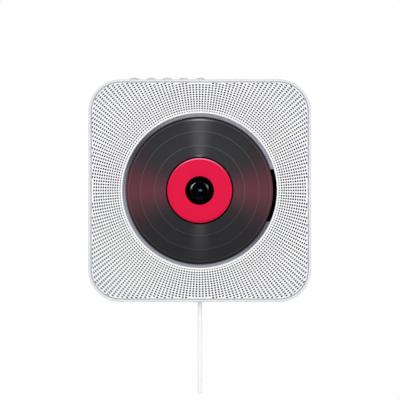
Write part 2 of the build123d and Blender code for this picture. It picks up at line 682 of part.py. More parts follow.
# ---- circuit boards and sockets ---------------------------------------------------------
def main_board():
    """The main circuit board, held off the rear cover on four posts."""
    board = slab(Pos(0, -3) * Rectangle(112, 90), BOARD_FRONT, BOARD_BACK)
    for x in (-BOARD_POST_X, BOARD_POST_X):
        for z in BOARD_POST_Z:
            board -= post(1.5, BOARD_FRONT, BOARD_BACK, x, z, sides=8)
    return board


def chip(x, z, width, height, thickness):
    return block(x - width / 2, x + width / 2, BOARD_FRONT - thickness, BOARD_FRONT,
                 z - height / 2, z + height / 2)


def socket_panel():
    """The insert in the right side wall that the sockets are fixed in."""
    wall = HALF - CASE_WALL
    panel = block(wall, HALF, *PANEL_Y, *PANEL_Z)
    panel += block(wall - 1, wall, PANEL_Y[0] - 1.2, PANEL_Y[1] + 1.2, PANEL_Z[0] - 1.2, PANEL_Z[1] + 1.2)
    panel -= bar_x(DC_COLLAR + 0.1, wall - 1, HALF, SOCKET_Y, DC_Z)
    panel -= bar_x(AUDIO_COLLAR + 0.1, wall - 1, HALF, SOCKET_Y, AUDIO_Z)
    return panel - block(wall - 1, HALF, SOCKET_Y - 3.4, SOCKET_Y + 3.4, USB_Z - 7, USB_Z + 7)


def dc_jack():
    """The supply socket: a square body with a stepped barrel bore and a centre pin."""
    body = block(HALF - 13, SOCKET_FACE, SOCKET_Y - 5, SOCKET_Y + 5, DC_Z - 5, DC_Z + 5)
    body += bar_x(DC_COLLAR, SOCKET_FACE, HALF, SOCKET_Y, DC_Z)
    body -= bar_x(DC_RADIUS, HALF - 5, HALF, SOCKET_Y, DC_Z)
    body -= bar_x(DC_RADIUS - 0.3, HALF - 11, HALF - 5, SOCKET_Y, DC_Z)
    return body + bar_x(1.0, HALF - 11, HALF - 5.5, SOCKET_Y, DC_Z)


def audio_jack():
    """A 3.5 mm stereo socket with its collar in the case wall."""
    body = block(HALF - 14, SOCKET_FACE, SOCKET_Y - 4, SOCKET_Y + 4, AUDIO_Z - 4, AUDIO_Z + 4)
    body += bar_x(AUDIO_COLLAR, SOCKET_FACE, HALF, SOCKET_Y, AUDIO_Z)
    return body - bar_x(AUDIO_RADIUS, HALF - 13, HALF, SOCKET_Y, AUDIO_Z)


def usb_port():
    """A folded metal shell, and the plastic tongue inside it."""
    x0, x1 = HALF - 13.0, HALF - 0.4
    shell = block(x0, x1, SOCKET_Y - 3.2, SOCKET_Y + 3.2, USB_Z - 6.8, USB_Z + 6.8)
    shell -= block(x0 + 1, x1, SOCKET_Y - 2.7, SOCKET_Y + 2.7, USB_Z - 6.3, USB_Z + 6.3)
    return shell + block(x0, x1 - 1.2, SOCKET_Y - 2.0, SOCKET_Y - 0.1, USB_Z - 5.6, USB_Z + 5.6)


def ribbon_cable():
    """A flat cable from the back of the mechanism cover to the main board."""
    top = Polygon((COVER_BACK, 24.0), (COVER_BACK, 23.6), (-14.6, 23.6), (-14.2, 23.0),
                  (BOARD_FRONT, 20.0), (BOARD_FRONT, 20.4), (-14.0, 23.4), (-14.4, 24.0))
    return extrude(Plane.YZ.offset(-32) * top, amount=14)


# ---- write every node -------------------------------------------------------------------
REAR_SCREWS = [(x, z) for x in (-REAR_SCREW_X, REAR_SCREW_X) for z in (-REAR_SCREW_Z, REAR_SCREW_Z)]
BOARD_SCREWS = [(x, z) for x in (-BOARD_POST_X, BOARD_POST_X) for z in BOARD_POST_Z]

save("wall_plate", wall_plate())
save("casing_band", casing_band())
save("front_grille", front_grille())
save("rear_cover", rear_cover())
save("rubber_pads", *rubber_pads())
save("rear_screws", *[screw(x, z, CASE_BACK - 3.5, 2.7, 1.9, 1.0, -14) for x, z in REAR_SCREWS])
save("grille_cloth", grille_cloth())
save("disc_well", disc_well())

save("mechanism_chassis", mechanism_chassis())
save("mechanism_cover", mechanism_cover())
save("main_guide_rod", guide_rod(MAIN_ROD_RADIUS, MAIN_ROD_Z))
save("side_guide_rod", guide_rod(SIDE_ROD_RADIUS, SIDE_ROD_Z))
save("rubber_dampers", *[damper(x, z) for x, z in DAMPER_XZ])
save("damper_screws", *[screw(x, z, DAMPER_POST_BACK, 4.2, 1.4, 0.9, -3.6) for x, z in DAMPER_XZ])
save("spindle_motor", spindle_motor())
save("sled_motor", sled_motor())
save("gear_pin", gear_pin())

save("spindle_shaft", post(SHAFT_RADIUS, -40.2, -23.0))
save("turntable", turntable())
save("turntable_mat", turntable_mat())
save("hub", hub())
for number, angle in enumerate(CLAW_ANGLES, 1):
    save(f"hub_claw_{number}", claw(angle))
save("compact_disc", compact_disc())

save("sled_body", sled_body())
save("sled_rack", sled_rack())
save("lens_holder", lens_holder())
save("objective_lens", lens())
save("drive_gear", drive_gear())
save("motor_pinion", motor_pinion())
save("sled_motor_shaft", post(0.75, -28.5, LARGE_BACK + 0.4, PINION_X, PINION_Z))

for number, x in enumerate(BUTTON_X, 1):
    save(f"button_{number}", button(x))
save("button_board", button_board())
save("push_switches", *[tact_switch(x) for x in BUTTON_X])

save("cord_bush", cord_bush())
save("switch_housing", switch_housing())
save("switch_cap", switch_cap())
save("switch_slider", switch_slider())
save("return_spring", return_spring())
save("pull_cord", bar_z(CORD_DIAMETER / 2, CORD_END, CORD_TOP, 0, CORD_Y))
save("cord_tip", cord_tip())

save("speaker_frames", *speaker_frames())
save("speaker_cones", *speaker_cones())
save("speaker_magnets", *speaker_magnets())
save("speaker_gaskets", *speaker_gaskets())

save("main_board", main_board())
save("board_screws", *[screw(x, z, BOARD_FRONT, 2.6, 1.6, 0.9, 6) for x, z in BOARD_SCREWS])
save("processor_chip", chip(-18, -8, 14, 14, 1.4))
save("amplifier_chip", chip(20, -32, 16, 9, 2.4))
save("capacitors", *[post(4, BOARD_FRONT - 9, BOARD_FRONT, x, -42.5, 16) for x in (-12, -2)])
save("ribbon_cable", ribbon_cable())
save("socket_panel", socket_panel())
save("dc_jack", dc_jack())
save("audio_jack", audio_jack())
save("usb_port", usb_port())
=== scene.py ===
import math

import bmesh
import bpy
import numpy as np
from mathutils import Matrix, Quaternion, Vector


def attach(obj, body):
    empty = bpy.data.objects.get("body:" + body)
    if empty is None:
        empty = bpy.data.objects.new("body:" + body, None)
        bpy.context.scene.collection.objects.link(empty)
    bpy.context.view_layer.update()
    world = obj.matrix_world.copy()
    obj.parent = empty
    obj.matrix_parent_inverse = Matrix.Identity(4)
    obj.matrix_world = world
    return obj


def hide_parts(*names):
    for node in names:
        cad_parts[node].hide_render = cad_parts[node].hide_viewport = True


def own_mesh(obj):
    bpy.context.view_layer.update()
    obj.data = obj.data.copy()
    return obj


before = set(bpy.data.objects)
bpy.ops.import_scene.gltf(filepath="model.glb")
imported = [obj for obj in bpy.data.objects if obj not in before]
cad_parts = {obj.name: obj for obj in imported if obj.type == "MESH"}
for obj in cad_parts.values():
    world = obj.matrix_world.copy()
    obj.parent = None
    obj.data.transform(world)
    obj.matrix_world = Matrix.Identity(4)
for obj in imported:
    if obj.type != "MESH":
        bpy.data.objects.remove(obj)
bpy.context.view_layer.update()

# ---- wall plate --------------------------------------------------------------------------
# The hanger is one white moulding that two countersunk screws hold flat on the wall.
# Its four hooks catch the rear cover. The mould leaves every edge very slightly rounded,
# and a fine spark-eroded grain on every face.
MM = 0.001
EDGE_BREAK = 0.22


def tint(red, green, blue):
    """A colour given as 0 to 255 screen values, turned into light: ((v + 0.055) / 1.055) ^ 2.4."""
    value = np.array([red, green, blue]) / 255
    light = np.where(value < 0.04045, value / 12.92, ((value + 0.055) / 1.055) ** 2.4)
    return (*light.tolist(), 1.0)


def feed(node, *inputs):
    """Give each (socket, source) of a node its constant, or link it to the output that feeds it."""
    for socket, source in inputs:
        if isinstance(source, bpy.types.NodeSocket):
            node.id_data.links.new(source, node.inputs[socket])
        else:
            node.inputs[socket].default_value = source
    return node


def node_maker(owner):
    """The principled shader of a material (a world has none), and a way to add nodes to it."""
    owner.use_nodes = True
    nodes = owner.node_tree.nodes

    def add(kind, *inputs, **settings):
        node = nodes.new(kind)
        for setting, value in settings.items():
            setattr(node, setting, value)
        return feed(node, *inputs)

    return nodes.get("Principled BSDF"), add


def maths(add, operation, *terms):
    """One step of arithmetic on values or constants."""
    return add("ShaderNodeMath", *enumerate(terms), operation=operation).outputs[0]


def mixed(add, share, under, over):
    """One colour laid over another by a share of 0 to 1."""
    return add("ShaderNodeMix", ("Factor", share), (6, under), (7, over), data_type="RGBA").outputs[2]


def ramp(add, value, low, high, start=0.0, end=1.0, **settings):
    """A value carried from the range low to high over to the range start to end."""
    return add("ShaderNodeMapRange", ("Value", value), ("From Min", low), ("From Max", high),
               ("To Min", start), ("To Max", end), **settings).outputs["Result"]


def dimmed(colour, share):
    """A colour with only a share of its light."""
    return tuple(channel * share for channel in colour[:3]) + (1.0,)


def moulded(name, colour, roughness=0.45, drift=0.03, grain=0.3, grain_size=0.35, specular=0.5):
    """Moulded plastic: the colour drifts a little with the flow of the melt, over a fine grain.

    colour is mixed with a darker one by slow noise, and fast noise makes the bump.
    """
    material = bpy.data.materials.new(name)
    shader, add = node_maker(material)
    place = ("Vector", add("ShaderNodeTexCoord").outputs["Object"])
    flow = add("ShaderNodeTexNoise", place, ("Scale", 45.0), ("Detail", 3.0), ("Roughness", 0.6))
    flow = flow.outputs["Fac"]
    spark = add("ShaderNodeTexNoise", place, ("Scale", 1000 / grain_size), ("Detail", 2.0)).outputs["Fac"]
    bump = add("ShaderNodeBump", ("Height", spark), ("Strength", grain), ("Distance", 0.02 * MM))
    feed(shader, ("Base Color", mixed(add, flow, dimmed(colour, 1 - drift), colour)),
         ("Roughness", ramp(add, flow, 0.0, 1.0, roughness * 0.9, roughness * 1.1)),
         ("Normal", bump.outputs["Normal"]), ("Specular IOR Level", specular))
    return material


def finish_mesh(mesh, crease=32):
    """Smooth shading that breaks at edges sharper than crease degrees."""
    mesh.shade_smooth()
    mesh.set_sharp_from_angle(angle=math.radians(crease))


def placed(name, data):
    """A new object in the scene, at the origin."""
    thing = bpy.data.objects.new(name, data)
    bpy.context.scene.collection.objects.link(thing)
    return thing


def settle(piece, body, material, node):
    """Give a piece its finish and the body it rides on, in place of the CAD node."""
    piece.data.materials.clear()
    piece.data.materials.append(material)
    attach(piece, body)
    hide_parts(node)


def applied(piece):
    """The piece with its modifiers made part of the mesh."""
    graph = bpy.context.evaluated_depsgraph_get()
    mesh = bpy.data.meshes.new_from_object(piece.evaluated_get(graph))
    piece.modifiers.clear()
    piece.data = mesh
    return piece


def eased(node, name, body, material, width=EDGE_BREAK):
    """A copy of a piece with its sharp edges rounded to about width millimetres, settled in its place.

    Faces in one plane are joined first, so that only real edges are rounded.
    """
    form = bmesh.new()
    form.from_mesh(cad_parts[node].data)
    bmesh.ops.remove_doubles(form, verts=form.verts, dist=0.002 * MM)
    bmesh.ops.dissolve_limit(form, angle_limit=math.radians(0.4), verts=form.verts, edges=form.edges)
    piece = placed(name, bpy.data.meshes.new(name))
    form.to_mesh(piece.data)
    form.free()
    bevel = piece.modifiers.new("edges", "BEVEL")
    bevel.width = width * MM
    bevel.segments = 2
    bevel.limit_method = "ANGLE"
    bevel.angle_limit = math.radians(30)
    finish_mesh(applied(piece).data, 40)
    settle(piece, body, material, node)


plate_white = moulded("plate_white", tint(238, 239, 240), roughness=0.5)
eased("wall_plate", "hanger_plate", "wall_hanger", plate_white)

# ---- casing band -------------------------------------------------------------------------
# The side wall is a square tube of white plastic with rounded corners, open at both ends.
# Its front rim frames the grille; the ledge inside carries it. Round holes in the top take
# the buttons, one in the bottom the cord's bush, and a cut-out on the right the sockets.
CASE_HALF = 91.0
CASE_CORNER = 26.5
CASE_WALL = 2.0
CASE_FRONT = -42.0
CASE_SPLIT = -9.0
CASE_ROUND = 1.5
CUT_INSIDE, CUT_OUTSIDE = 86.0, 93.0        # what cuts through the wall starts and ends here
PANEL_BACK = -39.8
LEDGE_GAP = 0.6             # room for the cloth between panel and ledge
LEDGE_THICKNESS = 1.0
BUTTON_X = (-54.0, -40.4, -27.0, -13.4, 0.3)
BUTTON_Y = -21.0
BUTTON_RADIUS = 3.9
BUTTON_GAP = 0.25
BUSH_RADIUS = 4.0
SOCKET_CUTOUT = ((-27.4, -12.6), (-29.0, 16.6))


def soft_outline(*corners, steps=4):
    """A closed outline from corners (u, v, cut), each turned by a curve that starts and ends
    cut away from the corner: (1 - t)^2 start + 2 t (1 - t) corner + t^2 end."""
    place = np.array([corner[:2] for corner in corners], float)
    cut = np.array([corner[2] for corner in corners], float)[:, None]
    back = np.roll(place, 1, 0) - place
    ahead = np.roll(place, -1, 0) - place
    start = place + back / np.linalg.norm(back, axis=1)[:, None] * cut
    end = place + ahead / np.linalg.norm(ahead, axis=1)[:, None] * cut
    t = np.linspace(0, 1, steps + 1)[None, :, None]
    curve = (1 - t) ** 2 * start[:, None] + 2 * t * (1 - t) * place[:, None] + t ** 2 * end[:, None]
    return curve.reshape(-1, 2)


def polar(radius, depth, turn):
    """Points round the axis from the wall: (radius cos turn, depth, radius sin turn)."""
    return np.stack(np.broadcast_arrays(radius * np.cos(turn), depth, radius * np.sin(turn)), -1)


def ring_quads(rows, columns, closed=True):
    """Faces between the rows of a grid whose columns, and rows if closed, run round in a ring."""
    row = np.arange(rows if closed else rows - 1)[:, None]
    column = np.arange(columns)[None]
    after_row, after_column = (row + 1) % rows, (column + 1) % columns
    corners = (row * columns + column, row * columns + after_column,
               after_row * columns + after_column, after_row * columns + column)
    return np.stack(corners, -1).reshape(-1, 4)


def skin(name, points, quads, crease=32):
    """A closed surface from millimetre points and four-cornered faces.

    Points in one place are merged, faces that this shrinks to nothing go, and all face outwards.
    """
    mesh = bpy.data.meshes.new(name)
    place = np.asarray(points, float).reshape(-1, 3) * MM
    mesh.from_pydata(place.tolist(), [], np.asarray(quads).tolist())
    form = bmesh.new()
    form.from_mesh(mesh)
    bmesh.ops.remove_doubles(form, verts=form.verts, dist=0.0005 * MM)
    bmesh.ops.dissolve_degenerate(form, edges=form.edges, dist=0.0005 * MM)
    bmesh.ops.recalc_face_normals(form, faces=form.faces)
    form.to_mesh(mesh)
    form.free()
    finish_mesh(mesh, crease)
    return placed(name, mesh)


def round_casing(name, profile, corner_steps=20):
    """A profile of (outward offset, y) carried round the rounded square of the casing.

    The path's straight sides join four arcs. At each path point with outward direction n, a
    profile point stands at arc centre + (corner radius + offset) n.
    """
    quarter = np.arange(4)[:, None] * math.pi / 2
    turn = quarter + np.linspace(0, math.pi / 2, corner_steps + 1)[None]
    reach = CASE_HALF - CASE_CORNER
    centre = polar(math.sqrt(2) * reach, 0, quarter + math.pi / 4 + 0 * turn).reshape(-1, 3)
    offset, depth = np.asarray(profile, float).T[:, :, None]
    points = centre + polar(CASE_CORNER + offset, depth, turn.ravel())
    return skin(name, points, ring_quads(len(profile), turn.size))


def axis_order(points, axis):
    """(across, along, up) points laid so that along runs with the given axis."""
    order = {"y": (0, 1, 2), "z": (0, 2, 1), "x": (1, 0, 2)}[axis]
    return points[..., order]


def turned(name, profile, axis="y", centre=(0, 0, 0), segments=96, crease=32):
    """A closed profile of (radius, distance along) points carried once round an axis.

    Each point stands at (radius cos t, distance, radius sin t), t running round the circle.
    """
    radius, along = np.asarray(profile, float).T[:, :, None]
    turn = np.linspace(0, 2 * math.pi, segments, endpoint=False)
    points = axis_order(polar(radius, along, turn), axis) + np.array(centre)
    return skin(name, points, ring_quads(len(profile), segments), crease)


def bar_box(name, x, y, z):
    """A plain block between pairs of limits, for cutting."""
    corners = np.array([(a, b, c) for a in x for b in y for c in z])
    faces = [(0, 1, 3, 2), (4, 6, 7, 5), (0, 4, 5, 1), (2, 3, 7, 6), (0, 2, 6, 4), (1, 5, 7, 3)]
    return skin(name, corners, faces)


def drill(radius, start, end, axis, centre, sides):
    """A plain round tool between two distances along an axis, for cutting."""
    return turned("tool", [(0, start), (radius, start), (radius, end), (0, end)], axis, centre, sides)


def cut_away(piece, *tools):
    """Take each tool's space out of the piece, and the tool out of the scene."""
    for tool in tools:
        cut = piece.modifiers.new("cut", "BOOLEAN")
        cut.operation = "DIFFERENCE"
        cut.solver = "EXACT"
        cut.object = tool
        applied(piece)
        bpy.data.objects.remove(tool)
    finish_mesh(piece.data)


shell_white = moulded("shell_white", tint(232, 234, 239), roughness=0.42, drift=0.015)
ledge_front = PANEL_BACK + LEDGE_GAP
ledge_back = ledge_front + LEDGE_THICKNESS
casing_band = round_casing("side_band", soft_outline(
    (0, CASE_SPLIT, 0.15), (0, CASE_FRONT, CASE_ROUND), (-CASE_WALL, CASE_FRONT, 0.25),
    (-CASE_WALL, ledge_front, 0.05), (-2 * CASE_WALL, ledge_front, 0.1),
    (-2 * CASE_WALL, ledge_back, 0.1), (-CASE_WALL, ledge_back, 0.1),
    (-CASE_WALL, CASE_SPLIT, 0.15), steps=6))
hole_tools = [drill(BUTTON_RADIUS + BUTTON_GAP, CUT_INSIDE, CUT_OUTSIDE, "z", (x, BUTTON_Y, 0), 48)
              for x in BUTTON_X]
bush_tool = drill(BUSH_RADIUS, -CUT_OUTSIDE, -CUT_INSIDE, "z", (0, BUTTON_Y, 0), 48)
socket_tool = bar_box("tool", (87.5, CUT_OUTSIDE), *SOCKET_CUTOUT)
cut_away(casing_band, *hole_tools, bush_tool, socket_tool)
weigh = casing_band.modifiers.new("normals", "WEIGHTED_NORMAL")     # keeps the flat walls flat
weigh.keep_sharp = True
weigh.weight = 80
applied(casing_band)
settle(casing_band, "player", shell_white, "casing_band")

# ---- front grille ------------------------------------------------------------------------
# The front panel is one white moulding, pierced all over by small oval holes in 200 radial
# rows and 26 rings. The innermost ring is cut through by the opening for the disc well.
HOLE_ROWS = 200
HOLE_RINGS = 26
FIRST_RING = 65.2
RING_PITCH = 1.92
HOLE_ALONG = 0.65           # half a hole's length along its row
HOLE_ACROSS = 0.79          # half its width at the first ring
HOLE_GROWTH = 0.75          # power of the radius that the width grows with
SIDE_STRETCH = 0.08         # share by which holes on the sides are longer, and corner ones shorter
SIDE_NARROW = 0.4           # share of that stretch by which they are narrower
FIRST_SIZE = 0.70           # the first ring's holes beside the others
PANEL_HALF = 88.4
PANEL_CORNER = 24.1
OPENING = 64.9
HOLE_MARGIN = 0.8           # least distance from a hole's centre to the panel's edge
PANEL_ROUND = 0.3


def outline_reach(turn, half, corner):
    """Distance from the centre to a rounded square's edge in a direction.

    It is half over the larger of |cos| and |sin|, or in a corner the far root of
    r^2 - 2 r c (|cos| + |sin|) + 2 c^2 = corner^2, with c the corner centre's distance.
    """
    across, up = np.abs(np.cos(turn)), np.abs(np.sin(turn))
    flat = half / np.maximum(across, up)
    centre = half - corner
    both = across + up
    bend = centre * both + np.sqrt(np.maximum(centre ** 2 * both ** 2 - 2 * centre ** 2 + corner ** 2, 0))
    in_corner = np.minimum(across, up) * flat > centre
    return np.where(in_corner, bend, flat)


def perforated_panel(name):
    """The panel as a grid of cells, each with a hole or blank.

    A cell has eight points round it and eight round its hole; a blank cell's hole shrinks to
    its centre. Points beyond the outline are drawn in to it along their radius, so that cells
    outside the panel shrink to nothing, and the outer rounding and walls are added as rings.
    """
    row, ring = np.meshgrid(np.arange(HOLE_ROWS), np.arange(HOLE_RINGS + 2), indexing="ij")
    row, ring = row.ravel()[:, None], ring.ravel()[:, None]
    step = 2 * math.pi / HOLE_ROWS
    middle_turn = row * step
    middle = FIRST_RING + ring * RING_PITCH
    side = np.array([0, 1, 1, 1, 0, -1, -1, -1])[None]     # round the cell, from outside
    out = np.array([1, 1, 0, -1, -1, -1, 0, 1])[None]
    cell_turn = middle_turn + side * step / 2
    cell_radius = middle + out * RING_PITCH / 2
    spoke = np.arctan2(side, out)
    size = np.where(ring > 0, 1.0, FIRST_SIZE)
    stretch = SIDE_STRETCH * np.where(ring > 0, np.cos(4 * middle_turn), 0.0)
    across = HOLE_ACROSS * (middle / FIRST_RING) ** HOLE_GROWTH * size * np.sin(spoke)
    across *= 1 - SIDE_NARROW * stretch
    along = HOLE_ALONG * (1 + stretch) * size * np.cos(spoke)
    hole_radius = np.hypot(middle + along, across)
    hole_turn = middle_turn + np.arctan2(across, middle + along)
    to_edge = outline_reach(middle_turn, PANEL_HALF - HOLE_MARGIN, PANEL_CORNER - HOLE_MARGIN)
    pierced = (middle < to_edge) & (ring < HOLE_RINGS)
    hole_radius = np.where(pierced, hole_radius, middle)
    hole_turn = np.where(pierced, hole_turn, middle_turn)

    def on_panel(radius, depth, turn):
        edge = outline_reach(turn, PANEL_HALF - PANEL_ROUND, PANEL_CORNER - PANEL_ROUND)
        return polar(np.clip(radius, OPENING, edge), depth, turn)

    count = len(row)
    layers = ((cell_radius, CASE_FRONT, cell_turn), (hole_radius, CASE_FRONT, hole_turn),
              (hole_radius, PANEL_BACK, hole_turn), (cell_radius, PANEL_BACK, cell_turn))
    points = np.concatenate([on_panel(*layer) for layer in layers], 1)
    first_point = np.arange(count)[:, None, None] * 32    # each cell has four rings of eight
    bands = (ring_quads(4, 8, closed=False) + first_point).reshape(count, 3, 8, 4)
    keep = np.ones((count, 8), bool)
    keep[:, 3:5] = ring > 0                               # the opening cuts the first ring through
    walls = keep & pierced
    faces = [bands[:, 0][keep], bands[:, 1][walls], bands[:, 2][keep]]

    # the rounding and the wall round the panel's edge
    turn = np.arange(2 * HOLE_ROWS) * step / 2
    bend = np.linspace(0, math.pi / 2, 4)
    inset = np.append(PANEL_ROUND * (1 - np.sin(bend)), [0.0, PANEL_ROUND])[:, None]
    depth = np.append(CASE_FRONT + PANEL_ROUND * (1 - np.cos(bend)), [PANEL_BACK, PANEL_BACK])[:, None]
    reach = outline_reach(turn, PANEL_HALF - inset, PANEL_CORNER - inset)
    rim = polar(reach, depth, turn)
    rim_quads = ring_quads(len(inset), len(turn), closed=False) + count * 32

    # strips of wall between the holes that the opening cuts through
    slant = FIRST_SIZE * math.sqrt(0.5)
    notch = math.atan2(HOLE_ACROSS * slant, FIRST_RING - HOLE_ALONG * slant)
    ends = np.array([[-step / 2, -notch], [notch, step / 2]])
    lip_turn = (np.arange(HOLE_ROWS)[:, None, None] * step + ends).reshape(-1, 1, 2)
    lip = polar(OPENING, np.array([[CASE_FRONT], [PANEL_BACK]]), lip_turn)
    lip_quads = np.arange(len(lip))[:, None] * 4 + np.array([0, 1, 3, 2]) + count * 32 + rim.size // 3
    points = np.concatenate([part.reshape(-1, 3) for part in (points, rim, lip)])
    return skin(name, points, np.concatenate([*faces, rim_quads, lip_quads]), 50)


def from_axis(add):
    """Distance from the disc's axis, and the direction away from it, across the front."""
    place = add("ShaderNodeTexCoord").outputs["Object"]
    flat = add("ShaderNodeVectorMath", (0, place), (1, (1, 0, 1)), operation="MULTIPLY").outputs[0]
    distance = add("ShaderNodeVectorMath", (0, flat), operation="LENGTH").outputs["Value"]
    return distance, add("ShaderNodeVectorMath", (0, flat), operation="NORMALIZE").outputs[0]


def fade_to_corners(material, start, end, colour):
    """Blend a finish to another colour between two distances from the disc's axis."""
    shader, add = node_maker(material)
    own = shader.inputs["Base Color"].links[0].from_socket
    share = ramp(add, from_axis(add)[0], start * MM, end * MM)
    feed(shader, ("Base Color", mixed(add, share, own, colour)))


panel_white = moulded("panel_white", tint(252, 252, 251), roughness=0.42, drift=0.015)
# painted shade: the panel's face turns darker towards the corners
fade_to_corners(panel_white, 94, 112, tint(240, 241, 242))
front_grille = perforated_panel("grille_panel")
settle(front_grille, "player", panel_white, "front_grille")

# ---- acoustic cloth ----------------------------------------------------------------------
# Black woven cloth is stretched between the grille and the well's flange, and hides what is
# inside. Its threads cross at right angles, about two to the millimetre.
CLOTH_HALF = 88.2
CLOTH_CORNER = 23.7
CLOTH_HOLE = 64.95
CLOTH_FRONT = PANEL_BACK + 0.02
CLOTH_THICKNESS = 0.5
THREAD = 0.5


def woven(name, colour, thread):
    """Woven cloth: two sets of ridges at right angles, with painted light and shade: lighter where a
    thread comes to the top, darker between the threads.
    """
    material = bpy.data.materials.new(name)
    shader, add = node_maker(material)
    place = ("Vector", add("ShaderNodeTexCoord").outputs["Object"])
    scale = ("Scale", math.pi / (thread * MM) / 10)
    warp, weft = (add("ShaderNodeTexWave", place, scale, ("Distortion", 0.3), bands_direction=way)
                  for way in "XZ")
    height = maths(add, "MAXIMUM", warp.outputs["Fac"], weft.outputs["Fac"])
    bump = add("ShaderNodeBump", ("Height", height), ("Strength", 0.6), ("Distance", 0.12 * MM))
    # painted shade between the threads and painted light on their tops
    feed(shader, ("Base Color", mixed(add, height, dimmed(colour, 0.35), colour)),
         ("Normal", bump.outputs["Normal"]), ("Roughness", 0.95), ("Specular IOR Level", 0.1))
    return material


def stretched_cloth(name):
    """A flat sheet between a circle and a rounded square, with a front, a back and two edges."""
    turn = np.linspace(0, 2 * math.pi, 240, endpoint=False)
    share = np.linspace(0, 1, 9)[:, None]
    reach = outline_reach(turn, CLOTH_HALF, CLOTH_CORNER)
    radius = CLOTH_HOLE + (reach - CLOTH_HOLE) * share
    loops = np.concatenate([radius, radius[::-1]])
    depth = np.repeat([CLOTH_FRONT, CLOTH_FRONT + CLOTH_THICKNESS], len(share))[:, None]
    return skin(name, polar(loops, depth, turn), ring_quads(len(loops), len(turn)))


cloth_black = woven("cloth_black", tint(25, 32, 86), THREAD)
# painted light: the cloth turns paler towards the corners
fade_to_corners(cloth_black, 86, 108, tint(112, 115, 140))
cloth = stretched_cloth("acoustic_cloth")
settle(cloth, "player", cloth_black, "grille_cloth")

# ---- disc well ---------------------------------------------------------------------------
# The round dish behind the opening is white plastic, with a rounded lip that stands a little
# proud of the grille. Its floor is open towards the right, where the laser sled runs.
WELL_RADIUS = 63.1
WELL_WALL = 1.7
WELL_OUTER = WELL_RADIUS + WELL_WALL
WELL_FLOOR = -36.5
FLOOR_BACK = -34.5
FLOOR_HOLE = 8.0
LIP_FRONT = -42.5
LIP_ROUND = 0.75
WELL_FLANGE = 72.0
FLANGE_FRONT = -39.2
FLANGE_BACK = -37.7
CUT_AHEAD, CUT_BEHIND = -45.0, -30.0        # what cuts through the dish starts and ends here
WINDOW_X = (-24.0, 75.0)
WINDOW_Z = (-25.3, 17.5)
SPEAKERS = ((-62.5, -62.5), (62.5, -62.5))
SPEAKER_HOLE = 19.4
SHADE_SLANT = math.radians(147)             # the slant at whose two ends the dish's painted shade is deepest
GAP_SHADE = (60.2, 61.35)   # the disc's shadow fades between these radii

disc_well = turned("well_dish", soft_outline(
    (WELL_RADIUS, WELL_FLOOR, 0.6), (WELL_RADIUS, LIP_FRONT, LIP_ROUND),
    (WELL_OUTER, LIP_FRONT, LIP_ROUND), (WELL_OUTER, FLANGE_FRONT, 0.05),
    (WELL_FLANGE, FLANGE_FRONT, 0.1), (WELL_FLANGE, FLANGE_BACK, 0.1),
    (WELL_OUTER, FLANGE_BACK, 0.1), (WELL_OUTER, FLOOR_BACK, 0.3),
    (FLOOR_HOLE, FLOOR_BACK, 0.2), (FLOOR_HOLE, WELL_FLOOR, 0.2), steps=6), segments=240)
speaker_tools = [drill(SPEAKER_HOLE, CUT_AHEAD, CUT_BEHIND, "y", (x, 0, z), 64) for x, z in SPEAKERS]
window_tool = bar_box("tool", WINDOW_X, (FLANGE_BACK, CUT_BEHIND), WINDOW_Z)
cut_away(disc_well, window_tool, *speaker_tools)


def well_finish():
    """White plastic whose inside is painted grey as shade.

    Inside the lip the colour is grey with faint slanting lines. Painted shade makes it deeper towards
    the lower left, and deepest where the way out from the axis nears either end of one slant. A painted
    shadow of the disc lies beside its edge. The lip is white.
    """
    material = moulded("well_white", tint(253, 253, 254), drift=0.01)
    shader, add = node_maker(material)
    white = shader.inputs["Base Color"].links[0].from_socket
    radius, toward = from_axis(add)

    def facing(x, z):
        node = add("ShaderNodeVectorMath", (0, toward), (1, (x, 0.0, z)), operation="DOT_PRODUCT")
        return node.outputs["Value"]

    slant = facing(math.cos(SHADE_SLANT), math.sin(SHADE_SLANT))
    painted_dark_ends = maths(add, "POWER", maths(add, "MULTIPLY_ADD", slant, 0.985, 0.015), 8.0)
    lines = add("ShaderNodeTexWave", ("Vector", add("ShaderNodeTexCoord").outputs["Object"]),
                ("Scale", 110.0), bands_direction="DIAGONAL").outputs["Fac"]
    # painted shade: the white plastic inside the lip is coloured grey, with faint slanting lines
    grey = mixed(add, lines, tint(181, 183, 194), tint(191, 193, 204))
    # painted shade, deeper towards the lower left
    grey = mixed(add, facing(-0.5, -0.85), grey, tint(168, 169, 179))
    # painted shade, deepest near both ends of the slant
    grey = mixed(add, painted_dark_ends, grey, tint(90, 88, 96))
    # painted shadow of the disc, fading out beside its edge
    shaded = ramp(add, radius, GAP_SHADE[0] * MM, GAP_SHADE[1] * MM)
    grey = mixed(add, shaded, tint(70, 69, 74), grey)
    lip = ramp(add, radius, (WELL_RADIUS - 0.35) * MM, (WELL_RADIUS + 0.35) * MM)
    feed(shader, ("Base Color", mixed(add, lip, grey, white)))
    return material


settle(disc_well, "player", well_finish(), "disc_well")

# ---- mechanism ---------------------------------------------------------------------------
# The chassis is a black moulded plate hung on four rubber dampers. It carries two blued
# steel rods, the spindle motor and the small motor and gear that drive the laser sled.

def worked_metal(name, colour, roughness=0.3, streak=(1.0, 1.0, 1.0)):
    """Ground or turned metal: fine streaks, stretched along the direction it was worked in."""
    material = bpy.data.materials.new(name)
    shader, add = node_maker(material)
    place = add("ShaderNodeTexCoord").outputs["Object"]
    along = add("ShaderNodeMapping", ("Vector", place), ("Scale", streak)).outputs["Vector"]
    lines = add("ShaderNodeTexNoise", ("Vector", along), ("Scale", 600.0), ("Detail", 4.0)).outputs["Fac"]
    feed(shader, ("Base Color", mixed(add, lines, dimmed(colour, 0.82), colour)), ("Metallic", 1.0),
         ("Roughness", ramp(add, lines, 0.0, 1.0, roughness * 0.75, roughness * 1.3)))
    return material


def dress(material, *nodes):
    """Give CAD pieces whose shape is right their finish."""
    for node in nodes:
        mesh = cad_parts[node].data
        mesh.materials.clear()
        mesh.materials.append(material)


